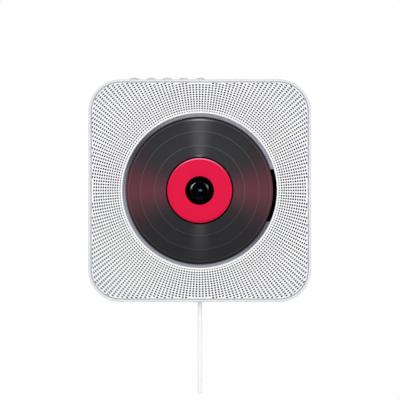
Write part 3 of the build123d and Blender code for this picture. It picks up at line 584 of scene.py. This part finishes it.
chassis_black = moulded("chassis_black", tint(13, 13, 15), roughness=0.6, drift=0.2, specular=0.2)
eased("mechanism_chassis", "deck_chassis", "player", chassis_black, 0.15)
ground_steel = worked_metal("ground_steel", tint(205, 207, 212), 0.18, (0.15, 1.0, 1.0))
blued_steel = worked_metal("blued_steel", tint(34, 36, 42), 0.3, (0.15, 1.0, 1.0))
spun_steel = worked_metal("spun_steel", tint(186, 188, 192), 0.35, (1.0, 0.2, 1.0))
rubber_black = moulded("rubber_black", tint(38, 38, 40), roughness=0.8, drift=0.15, grain=0.5)
natural_acetal = moulded("natural_acetal", tint(232, 230, 220), roughness=0.38)
zinc_steel = worked_metal("zinc_steel", tint(198, 200, 204), 0.32)
dress(chassis_black, "mechanism_cover")
dress(blued_steel, "main_guide_rod", "side_guide_rod")
dress(ground_steel, "gear_pin", "spindle_shaft", "sled_motor_shaft")
dress(spun_steel, "spindle_motor", "sled_motor")
dress(rubber_black, "rubber_dampers")
dress(zinc_steel, "damper_screws", "board_screws")
dress(natural_acetal, "drive_gear", "motor_pinion")

# ---- spindle -----------------------------------------------------------------------------
# The turntable is pressed on the motor's shaft and carries the disc on a rubber mat. The
# glossy black hub centres the disc, and three sprung claws in its side hold it down.
DISC_FRONT = -39.6
HUB_RADIUS = 7.4
HUB_BASE = -38.0
HUB_SHOULDER = -40.25
HUB_EDGE = HUB_SHOULDER - 0.15
HUB_BEVEL = -40.785
HUB_DOME = 6.75             # where the bevel of 35 degrees meets the dome
HUB_CROWN = -41.8
CLAW_ANGLES = (90, 210, 330)
CLAW_ROOT = 4.4
CLAW_HALF = 1.5
CLAW_NOSE = 7.62
CLAW_FRONT = -40.95
CLAW_BACK = -38.9
CLAW_MIDDLE = (6.0, -39.6)  # where its outline closes at both ends
CLAW_WINDOW = ((3.6, 9.0), (-41.0, -38.75))
CLAW_GAP = 0.1
HUB_BREAK = 0.1             # the small bevel round the hub's edges


def hub_front(radius):
    """Depth of the hub's front: crown + rise (radius / dome)^2 on the dome, then a straight bevel."""
    domed = HUB_CROWN + (HUB_BEVEL - HUB_CROWN) * (radius / HUB_DOME) ** 2
    slope = (HUB_EDGE - HUB_BEVEL) / (HUB_RADIUS - HUB_BREAK - HUB_DOME)
    return np.where(radius < HUB_DOME, domed, HUB_BEVEL + slope * (radius - HUB_DOME))


def about_axis(points, angle):
    """Points turned round the disc's axis: x cos + z sin, and z cos - x sin."""
    cos, sin = math.cos(math.radians(angle)), math.sin(math.radians(angle))
    x, y, z = np.moveaxis(points, -1, 0)
    return np.stack([x * cos + z * sin, y, z * cos - x * sin], -1)


def sprung_claw(name, angle):
    """A claw whose front carries on the hub's own, out to a nose over the disc's edge.

    One outline of (out, depth) points stands at each distance across; at both ends it closes
    on a point in its middle.
    """
    across = np.linspace(-CLAW_HALF, CLAW_HALF, 9)[:, None]
    out = np.append(np.linspace(CLAW_ROOT, HUB_RADIUS - HUB_BREAK, 22), CLAW_NOSE)[None]
    depth = np.maximum(hub_front(np.hypot(out, across)), CLAW_FRONT)
    under = np.array([(HUB_RADIUS + 0.02, DISC_FRONT), (HUB_RADIUS - HUB_BREAK, CLAW_BACK),
                      (CLAW_ROOT, CLAW_BACK)])
    out = np.concatenate([out + 0 * across, under[:, 0] + 0 * across], 1)
    depth = np.concatenate([depth, under[:, 1] + 0 * across], 1)
    end = np.zeros_like(out[:1])
    out = np.concatenate([end + CLAW_MIDDLE[0], out, end + CLAW_MIDDLE[0]])
    depth = np.concatenate([end + CLAW_MIDDLE[1], depth, end + CLAW_MIDDLE[1]])
    across = np.concatenate([across[:1], across, across[-1:]]) + 0 * out
    points = about_axis(np.stack([out, depth, across], -1), angle)
    return skin(name, points, ring_quads(*out.shape, closed=False), 12)


dome = np.linspace(HUB_DOME, 0, 12)
dome_profile = np.stack([dome, hub_front(dome)], 1)
hub_profile = [(0, HUB_BASE), (HUB_RADIUS - HUB_BREAK, HUB_BASE), (HUB_RADIUS, HUB_BASE - HUB_BREAK),
               (HUB_RADIUS, HUB_SHOULDER), (HUB_RADIUS - HUB_BREAK, HUB_EDGE), *dome_profile.tolist()]
hub = turned("centre_hub", hub_profile, segments=128, crease=12)
for angle in CLAW_ANGLES:
    tool = bar_box("tool", *CLAW_WINDOW, (-CLAW_HALF - CLAW_GAP, CLAW_HALF + CLAW_GAP))
    corners = np.array([vertex.co[:] for vertex in tool.data.vertices])
    tool.data.vertices.foreach_set("co", about_axis(corners, angle).ravel())
    tool.data.update()
    cut_away(hub, tool)
finish_mesh(hub.data, 12)
hub_black = moulded("hub_black", tint(2, 2, 3), roughness=0.1, drift=0.1, grain=0.03)
settle(hub, "spindle", hub_black, "hub")
claws = []
for number, angle in enumerate(CLAW_ANGLES, 1):
    claws.append(sprung_claw(f"disc_claw_{number}", angle))
    settle(claws[-1], f"claw_{number}", hub_black, f"hub_claw_{number}")
eased("turntable", "platter", "spindle", chassis_black, 0.1)
dress(rubber_black, "turntable_mat")

# ---- disc --------------------------------------------------------------------------------
# A pressed polycarbonate disc of 120 mm. Its front carries the print of a black record with a red
# label and raised rings between the tracks, with sheens, highlights and shade painted over the print;
# its back is the silver data side.
DISC_BACK = -38.4
DISC_RADIUS = 60.0
DISC_BORE = 7.5
LABEL_INNER = 11.8
LABEL_OUTER = 26.5
TRACK_RINGS = (36.9, 48.5, 58.15)
RING_SHARES = (0.16, 0.16, 0.17)            # how much paler each ring's print is
RING_HEIGHT = 0.05
LABEL_RISE = 0.03
LABEL_GLINT, RIM_GLINT, EDGE_SHADE = 28.5, 57.9, 59.7       # radii of the painted highlights and the painted dark edge
STACK_INNER, STACK_OUTER = 16.4, 17.2       # radii of the stacking groove in the back
STACK_DEPTH = 0.2
GROOVE_PITCH = 0.45         # of the printed record's grooves

front_line = [(ring + out, DISC_FRONT - rise) for ring in TRACK_RINGS
              for out, rise in ((-0.28, 0), (-0.12, RING_HEIGHT), (0.12, RING_HEIGHT), (0.28, 0))]
disc_profile = [(DISC_BORE, DISC_FRONT + 0.1), (DISC_BORE + 0.1, DISC_FRONT),
                (LABEL_INNER, DISC_FRONT), (LABEL_INNER + 0.12, DISC_FRONT - LABEL_RISE),
                (LABEL_OUTER - 0.12, DISC_FRONT - LABEL_RISE), (LABEL_OUTER, DISC_FRONT), *front_line,
                (DISC_RADIUS - 0.35, DISC_FRONT), (DISC_RADIUS - 0.1, DISC_FRONT + 0.1),
                (DISC_RADIUS, DISC_FRONT + 0.35), (DISC_RADIUS, DISC_BACK - 0.2),
                (DISC_RADIUS - 0.2, DISC_BACK), (STACK_OUTER, DISC_BACK),
                (STACK_OUTER - 0.2, DISC_BACK + STACK_DEPTH),
                (STACK_INNER + 0.2, DISC_BACK + STACK_DEPTH), (STACK_INNER, DISC_BACK),
                (DISC_BORE + 0.1, DISC_BACK), (DISC_BORE, DISC_BACK - 0.1)]
disc = turned("record_disc", disc_profile, segments=256, crease=25)


def record_print_and_sheens():
    """The front: print in bands of colour by distance from the axis, with painted light over the black:
    the soft sheens of a grooved record, strongest where the way out from the axis nears up or across, a
    painted rise in light towards the top, painted highlights and a painted dark edge."""
    material = bpy.data.materials.new("record_print_and_sheens")
    shader, add = node_maker(material)
    radius, toward = from_axis(add)
    bearing = add("ShaderNodeSeparateXYZ", ("Vector", toward)).outputs
    up, across = bearing["Z"], bearing["X"]

    def times(*factors):
        product = factors[0]
        for factor in factors[1:]:
            product = maths(add, "MULTIPLY", product, factor)
        return product

    def wedge(along, sign, power):
        return maths(add, "POWER", maths(add, "MAXIMUM", times(along, sign), 0.0), power)

    def band(middle, half):
        return maths(add, "COMPARE", radius, middle * MM, half * MM)

    rising = maths(add, "MULTIPLY_ADD", up, 0.5, 0.5)
    painted_light_above = maths(add, "MULTIPLY_ADD", rising, 0.6, 0.5)
    inner_sheen = maths(add, "SUBTRACT", 1.7, maths(add, "DIVIDE", radius, 36 * MM))
    beside_sheens = [maths(add, "SUBTRACT", 1.0, wedge(across, sign, 6.0)) for sign in (-1, 1)]
    # painted light: the black is lighter towards the top and darker towards the bottom
    vinyl_and_sheens = mixed(add, rising, tint(46, 45, 47), tint(58, 57, 59))
    # darker towards the rim; painted sheens above, below and to either side; track rings of paler print,
    # made paler still above by painted light; painted highlights beside the label and near the rim; a
    # painted dark edge, lighter at the sides
    layers = [(times(radius, 4.0), (0, 0, 0)),
              (wedge(up, 1, 80.0), (80, 79, 84)),
              (times(wedge(up, -1, 75.0), inner_sheen), (67, 66, 69)),
              *((wedge(across, sign, 14.0), (98, 52, 64)) for sign in (-1, 1)),
              *((times(band(ring, 0.3), share, painted_light_above), (146, 141, 143))
                for ring, share in zip(TRACK_RINGS, RING_SHARES)),
              (times(band(LABEL_GLINT, 0.6), wedge(up, 1, 300.0)), (114, 114, 126)),
              (times(band(RIM_GLINT, 0.55), wedge(up, 1, 120.0)), (162, 161, 162)),
              (times(band(EDGE_SHADE, 0.5), *beside_sheens), (24, 22, 25))]
    for share, colour in layers:
        vinyl_and_sheens = mixed(add, share, vinyl_and_sheens, tint(*colour))
    # painted highlight along the label's upper rim, and painted shade along its lower rim
    upper_rim_highlight = times(band(LABEL_OUTER - 0.5, 0.5), wedge(up, 1, 4.0))
    lower_rim_shade = times(band(LABEL_OUTER - 0.7, 0.8), wedge(up, -1, 2.0))
    red = mixed(add, upper_rim_highlight, tint(226, 8, 63), tint(255, 128, 170))
    red = mixed(add, lower_rim_shade, red, tint(196, 14, 52))
    label = mixed(add, maths(add, "GREATER_THAN", radius, LABEL_INNER * MM), tint(2, 1, 1), red)
    beyond_label = maths(add, "GREATER_THAN", radius, LABEL_OUTER * MM)
    print_and_painted_light = mixed(add, beyond_label, label, vinyl_and_sheens)
    print_and_painted_light = mixed(add, band(LABEL_OUTER + 0.55, 0.62), print_and_painted_light, tint(1, 2, 4))
    grooves = maths(add, "SINE", times(radius, 2 * math.pi / (GROOVE_PITCH * MM)))
    bump = add("ShaderNodeBump", ("Height", times(grooves, beyond_label)), ("Strength", 0.12),
               ("Distance", 0.02 * MM))
    feed(shader, ("Base Color", print_and_painted_light), ("Normal", bump.outputs["Normal"]), ("Roughness", 0.3),
         ("Specular IOR Level", 0.15))
    return material


silver_side = worked_metal("silver_side", tint(208, 212, 220), 0.12)
feed(node_maker(silver_side)[0], ("Thin Film Thickness", 480.0))
settle(disc, "disc", record_print_and_sheens(), "compact_disc")
disc.data.materials.append(silver_side)
normals = np.zeros(len(disc.data.polygons) * 3)
disc.data.polygons.foreach_get("normal", normals)
faces_back = normals.reshape(-1, 3)[:, 1] > 0.5
disc.data.polygons.foreach_set("material_index", faces_back.astype(np.int32))

# ---- laser sled --------------------------------------------------------------------------
# The pickup's die-cast base slides on the rods. Its lens stands on a black plastic actuator
# and looks out through the gap in the chassis.
cast_zinc = worked_metal("cast_zinc", tint(150, 152, 156), 0.5)
eased("sled_body", "pickup_base", "sled", cast_zinc, 0.12)
eased("lens_holder", "lens_actuator", "sled", chassis_black, 0.1)
dress(natural_acetal, "sled_rack")
lens_glass = bpy.data.materials.new("lens_glass")
feed(node_maker(lens_glass)[0], ("Base Color", tint(120, 150, 200)), ("Roughness", 0.03),
     ("Coat Weight", 1.0), ("Specular IOR Level", 0.9))
dress(lens_glass, "objective_lens")

# ---- speakers ----------------------------------------------------------------------------
# Two small drivers face forward behind the grille in the lower corners: pressed steel
# frames, pulp cones, ferrite magnets and foam gaskets.
paper_cone = moulded("paper_cone", tint(44, 42, 42), roughness=0.85, drift=0.3, grain=0.8, grain_size=1.2)
ferrite = moulded("ferrite", tint(58, 58, 60), roughness=0.6, drift=0.25)
black_steel = worked_metal("black_steel", tint(70, 70, 74), 0.45)
dress(black_steel, "speaker_frames")
dress(paper_cone, "speaker_cones")
dress(ferrite, "speaker_magnets")
dress(rubber_black, "speaker_gaskets")

# ---- buttons -----------------------------------------------------------------------------
# Five round push buttons of pale blue-grey plastic stand along the top edge. Each is a
# domed cap with a stop collar inside the wall and a stem down to its switch.
BUTTON_TOP = 93.6
BUTTON_FACE = 88.8
SWITCH_TOP = 83.1
DOME_RISE = 0.9
COLLAR_REACH = 0.9
COLLAR_THICKNESS = 1.2
STEM_RADIUS = 1.5
STEM_FOOT = SWITCH_TOP - 0.6

button_grey = moulded("button_grey", tint(215, 222, 231), roughness=0.3, grain=0.15)
collar, collar_foot = BUTTON_RADIUS + COLLAR_REACH, BUTTON_FACE - COLLAR_THICKNESS
cap_line = [(0, STEM_FOOT), (STEM_RADIUS, STEM_FOOT), (STEM_RADIUS, collar_foot), (collar, collar_foot),
            (collar, BUTTON_FACE), (BUTTON_RADIUS, BUTTON_FACE),
            (BUTTON_RADIUS, BUTTON_TOP - DOME_RISE - 0.3),
            (BUTTON_RADIUS - 0.08, BUTTON_TOP - DOME_RISE - 0.08),
            *((BUTTON_RADIUS * share, BUTTON_TOP - DOME_RISE * share ** 2)
              for share in np.linspace(0.92, 0, 8))]
for number, x in enumerate(BUTTON_X, 1):
    cap = turned(f"push_button_{number}", cap_line, "z", (x, BUTTON_Y, 0), 64)
    settle(cap, f"button_{number}", button_grey, f"button_{number}")

# ---- pull cord ---------------------------------------------------------------------------
# A soft white cord hangs from the pull switch through a flanged bush in the bottom wall and
# ends in a small moulded tip. Pulling it down switches the player on and off.
CORD_Y = -21.0
CORD_DIAMETER = 3.6
CORD_ROUTE = ((0, CORD_Y, -74.0), (0, CORD_Y, -103.0), (0, CORD_Y, -132.0), (0, CORD_Y, -161.0))
TIP_RADIUS = 1.95
TIP_BORE = 1.85
TIP_TOP = -158.0
TIP_SEAT = -160.9
TIP_BOTTOM = -167.0
BUSH_BORE = 2.1
BUSH_FLANGE = 4.7
BUSH_INSIDE = -89.0
FLANGE_DEPTH = 0.5

white_pvc = moulded("white_pvc", tint(254, 254, 254), roughness=0.3, drift=0.01, grain=0.1)
cord_curve = bpy.data.curves.new("pull_cord_line", "CURVE")
cord_curve.dimensions = "3D"
cord_curve.bevel_depth = CORD_DIAMETER / 2 * MM
cord_curve.bevel_resolution = 8
cord_curve.resolution_u = 12
cord_curve.use_fill_caps = True
strand = cord_curve.splines.new("NURBS")
strand.points.add(len(CORD_ROUTE) - 1)
for point, place in zip(strand.points, CORD_ROUTE):
    point.co = (*(Vector(place) * MM), 1.0)
strand.order_u = 3
strand.use_endpoint_u = True
cord = placed("cord_line", cord_curve)
settle(cord, "cord_pull", white_pvc, "pull_cord")

tip = turned("cord_end", soft_outline(
    (0, TIP_BOTTOM, 0), (TIP_RADIUS, TIP_BOTTOM, 0.9), (TIP_RADIUS, TIP_TOP, 0.25),
    (TIP_BORE, TIP_TOP, 0.05), (TIP_BORE, TIP_SEAT, 0.05), (0, TIP_SEAT, 0), steps=5),
    "z", (0, CORD_Y, 0), 48)
settle(tip, "cord_pull", white_pvc, "cord_tip")

bush = turned("cord_grommet", soft_outline(
    (BUSH_BORE, -CASE_HALF - FLANGE_DEPTH, 0.2), (BUSH_FLANGE, -CASE_HALF - FLANGE_DEPTH, 0.2),
    (BUSH_FLANGE, -CASE_HALF, 0.1), (BUSH_RADIUS, -CASE_HALF, 0.05),
    (BUSH_RADIUS, BUSH_INSIDE, 0.1), (BUSH_BORE, BUSH_INSIDE, 0.1)), "z", (0, CORD_Y, 0), 64)
settle(bush, "player", shell_white, "cord_bush")
dress(natural_acetal, "switch_slider")
dress(chassis_black, "switch_housing", "switch_cap")
SPRING_FLOOR = -87.4
SPRING_HEIGHT = 11.0
SPRING_RADIUS = 3.3
SPRING_WIRE = 0.4           # the wire's half thickness
SPRING_TURNS = 4


def coil_spring():
    """Round wire on a helix: the wire's own circle stands across it, and rises with the turn."""
    turn = np.linspace(0, 2 * math.pi * SPRING_TURNS, 24 * SPRING_TURNS + 1)[:, None]
    round_wire = np.linspace(0, 2 * math.pi, 10, endpoint=False)[None]
    wire = np.concatenate([[0], np.full(len(turn) - 2, SPRING_WIRE), [0]])[:, None]
    reach = SPRING_RADIUS + wire * np.cos(round_wire)
    rise = SPRING_FLOOR + SPRING_WIRE + (SPRING_HEIGHT - 2 * SPRING_WIRE) * turn / turn[-1]
    points = np.stack([reach * np.cos(turn), CORD_Y + reach * np.sin(turn),
                       rise + wire * np.sin(round_wire)], -1)
    return skin("switch_spring", points, ring_quads(*reach.shape, closed=False), 40)


spring = coil_spring()
settle(spring, "player", ground_steel, "return_spring")
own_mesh(spring)

# ---- sockets -----------------------------------------------------------------------------
# A white insert in the right side wall holds the supply, audio and USB sockets. The sockets'
# bodies are black plastic, and the USB shell is folded bright steel.
for node, name, slot, material, width in (
        ("socket_panel", "socket_insert", "white_plastic", shell_white, 0.15),
        ("dc_jack", "supply_socket", "black_plastic", chassis_black, 0.12),
        ("audio_jack", "audio_socket", "black_plastic", chassis_black, 0.12),
        ("usb_port", "usb_socket", "motor_steel", zinc_steel, 0.08)):
    eased(node, name, "player", material, width)

# ---- boards ------------------------------------------------------------------------------
# The main board stands on four posts of the rear cover; a small one lies under the buttons.
green_laminate = moulded("green_laminate", tint(28, 92, 58), roughness=0.35, drift=0.25)
epoxy = moulded("epoxy", tint(26, 26, 28), roughness=0.6, drift=0.1)
blue_sleeve = moulded("blue_sleeve", tint(28, 42, 96), roughness=0.3)
ribbon_white = moulded("ribbon_white", tint(226, 228, 230), roughness=0.4)
dress(green_laminate, "main_board", "button_board")
dress(epoxy, "processor_chip", "amplifier_chip", "push_switches")
dress(blue_sleeve, "capacitors")
dress(ribbon_white, "ribbon_cable")

# ---- rear cover --------------------------------------------------------------------------
# The shallow white tray closes the back. A pocket hides the wall plate, four slots take its
# hooks, nine slits let the heat out, and four sunk screws hold it to the band.
SCREW_SEAT = -4.5
SCREW_HEAD = 2.7
SCREW_CROWN = 1.7           # height of the head over its seat
SCREW_SHANK = 1.0
SCREW_LENGTH = 14.0
CROSS_HALF = 0.36           # half the width of the cross's arms, their reach and depth
CROSS_REACH = 1.5
CROSS_DEPTH = 0.9
REAR_SCREWS = tuple((x, z) for x in (-84.3, 84.3) for z in (-36.0, 36.0))
PAD_PLACES = tuple((x, z) for x in (-66, 66) for z in (-66, 66))
PAD_RADIUS = 7.0
PAD_BACK = -0.02
CASE_BACK = -1.0

eased("rear_cover", "back_cover", "player", shell_white, 0.3)


def pan_screw(x, z):
    """A screw as a height over polar rings, with a cross sunk in its head where |u| or |w| is small.

    The height is a flat dome less a recess whose depth fades in over the cross's edge.
    """
    turn = np.linspace(0, 2 * math.pi, 64, endpoint=False)
    radius = np.array([*np.linspace(0, 0.6, 5), *np.linspace(0.8, 1.6, 5),
                       1.9, 2.2, 2.5, 2.65, SCREW_HEAD])[:, None]
    u, w = np.abs(radius * np.cos(turn)), np.abs(radius * np.sin(turn))
    height = SCREW_SEAT + SCREW_CROWN - 0.08 * radius ** 2
    height = np.where(radius > SCREW_HEAD - 0.1, height - 0.12, height)
    arms = np.clip((CROSS_HALF - np.minimum(u, w)) / 0.1, 0, 1)
    height = height - CROSS_DEPTH * arms * np.clip((CROSS_REACH - radius) / 0.15, 0, 1)
    skirt = np.array([(SCREW_HEAD, SCREW_SEAT), (SCREW_SHANK, SCREW_SEAT),
                      (SCREW_SHANK, SCREW_SEAT - SCREW_LENGTH + 2),
                      (0.6, SCREW_SEAT - SCREW_LENGTH), (0, SCREW_SEAT - SCREW_LENGTH)])
    under = polar(skirt[:, :1], skirt[:, 1:], turn)
    return np.concatenate([polar(radius, height, turn), under]) + np.array((x, 0, z))


screw_points = np.stack([pan_screw(x, z) for x, z in REAR_SCREWS])
count, rows, columns = screw_points.shape[:3]
first_point = np.arange(count)[:, None, None] * rows * columns
screw_quads = (ring_quads(rows, columns, closed=False) + first_point).reshape(-1, 4)
screws = skin("cover_screws", screw_points, screw_quads)
settle(screws, "player", zinc_steel, "rear_screws")

pad_rubber = moulded("pad_rubber", tint(150, 152, 156), roughness=0.75, drift=0.08, grain=0.5)
pad_line = soft_outline((0, CASE_BACK, 0), (PAD_RADIUS, CASE_BACK, 0.05), (PAD_RADIUS, PAD_BACK, 0.3),
                        (0, PAD_BACK, 0), steps=3)
for number, (x, z) in enumerate(PAD_PLACES, 1):
    pad = turned(f"wall_pad_{number}", pad_line, "y", (x, 0, z), 64)
    settle(pad, "player", pad_rubber, "rubber_pads")

# ---- studio ------------------------------------------------------------------------------
# A round pale floor well below, an even white surround that is dark in front of the casing,
# as a studio is behind its camera, a broad lamp in front and two behind, and strips that
# draw the hub's highlights.
WHITE = (1.0, 1.0, 1.0, 1.0)
FLOOR_Z = -0.30             # metres, as are the floor's radius, the lamps and the view's distance
FLOOR_RADIUS = 1.1
VIEW_WIDTH = 327.0          # millimetres across the picture at the disc
VIEW_CENTRE = (0.30, -40.0, -7.77)
VIEW_DISTANCE = 2.2
VIEW_LEFT = -0.7            # degrees that the camera stands to the left, and below
VIEW_BELOW = 1.1
SENSOR = 36.0

scene = bpy.context.scene
floor_turn = np.linspace(0, 2 * math.pi, 96, endpoint=False)
floor_mesh = bpy.data.meshes.new("floor")
floor_ring = axis_order(polar(FLOOR_RADIUS, FLOOR_Z, floor_turn), "z")
floor_mesh.from_pydata(floor_ring.tolist(), [], [range(len(floor_ring))])
floor = placed("floor", floor_mesh)
floor_paint = moulded("floor_paint", tint(240, 240, 240), roughness=0.8, drift=0.01)
floor_shader, add = node_maker(floor_paint)
seen = maths(add, "MULTIPLY", add("ShaderNodeLightPath").outputs["Is Camera Ray"], 0.7)
glow = add("ShaderNodeEmission", ("Color", (0.95, 0.95, 0.95, 1.0))).outputs[0]
paler = add("ShaderNodeMixShader", ("Fac", seen), (1, floor_shader.outputs[0]), (2, glow)).outputs[0]
clear = add("ShaderNodeBsdfTransparent", ("Color", WHITE)).outputs[0]       # as seen from below
backfacing = add("ShaderNodeNewGeometry").outputs["Backfacing"]
one_way = add("ShaderNodeMixShader", ("Fac", backfacing), (1, paler), (2, clear)).outputs[0]
feed(floor_paint.node_tree.nodes["Material Output"], ("Surface", one_way))
floor_mesh.materials.append(floor_paint)
floor.visible_glossy = False

world = bpy.data.worlds.new("studio")
scene.world = world
_, add = node_maker(world)
surround = feed(world.node_tree.nodes["Background"], ("Color", (0.97, 0.98, 1.0, 1.0)), ("Strength", 0.5))
bearing = add("ShaderNodeSeparateXYZ", (0, add("ShaderNodeTexCoord").outputs["Generated"]))
behind = ramp(add, bearing.outputs["Y"], -0.45, 0.25, 0.02, 1.0, interpolation_type="SMOOTHSTEP")
mirrored = add("ShaderNodeBackground", ("Color", WHITE), ("Strength", behind))
backdrop = add("ShaderNodeBackground", ("Color", WHITE))
rays = add("ShaderNodeLightPath").outputs
shown = surround.outputs[0]
for ray, light in (("Is Glossy Ray", mirrored), ("Is Transmission Ray", backdrop),
                   ("Is Camera Ray", backdrop)):
    shown = add("ShaderNodeMixShader", ("Fac", rays[ray]), (1, shown), (2, light.outputs[0])).outputs[0]
feed(world.node_tree.nodes["World Output"], ("Surface", shown))


def outward(azimuth, elevation):
    """The direction at a bearing from the front axis, in degrees to the right and up."""
    side, rise = math.radians(azimuth), math.radians(elevation)
    return Vector((math.sin(side) * math.cos(rise), -math.cos(side) * math.cos(rise), math.sin(rise)))


def lamp(name, azimuth, elevation, distance, width, height, radiance, roll=0.0, colour=(1, 1, 1)):
    """A soft box at a bearing from the front axis, aimed at the middle of the casing.

    An area lamp gives off pi times its area times its radiance.
    """
    light = bpy.data.lights.new(name, "AREA")
    light.shape = "RECTANGLE"
    light.size = width
    light.size_y = height
    light.energy = math.pi * width * height * radiance
    light.color = colour
    box = placed(name, light)
    away = outward(azimuth, elevation)
    box.location = away * distance
    rolled = Quaternion((0, 0, 1), math.radians(roll))
    box.rotation_euler = (away.to_track_quat("Z", "Y") @ rolled).to_euler()
    return box


lamp("broad_box", 3, 8, 2.6, 2.6, 1.9, 2.66).visible_glossy = False
for side in (-125, 125):
    fill = lamp("rear_fill", side, 10, 2.6, 1.6, 1.6, 0.95)
    fill.visible_glossy = False
    fill.visible_camera = False
hub_alone = bpy.data.collections.new("hub_alone")
for gloss_black in (hub, *claws):
    hub_alone.objects.link(gloss_black)
for strip in (lamp("left_strip", -66.3, 31.7, 1.4, 0.06, 2.0, 14, -13),
              lamp("right_strip", 68.3, 22.5, 1.4, 0.06, 2.2, 16, 8.7),
              lamp("card", 2, 2, 2.6, 0.55, 0.26, 6, colour=(0.5, 0.75, 1.0))):
    strip.visible_diffuse = False
    strip.light_linking.receiver_collection = hub_alone

camera_data = bpy.data.cameras.new("camera")
camera_data.sensor_width = SENSOR
camera_data.lens = SENSOR * VIEW_DISTANCE / (VIEW_WIDTH * MM)
camera = placed("camera", camera_data)
back = outward(-VIEW_LEFT, -VIEW_BELOW)
camera.location = Vector(VIEW_CENTRE) * MM + back * VIEW_DISTANCE
camera.rotation_euler = back.to_track_quat("Z", "Y").to_euler()
scene.camera = camera
scene.view_settings.view_transform = "Standard"
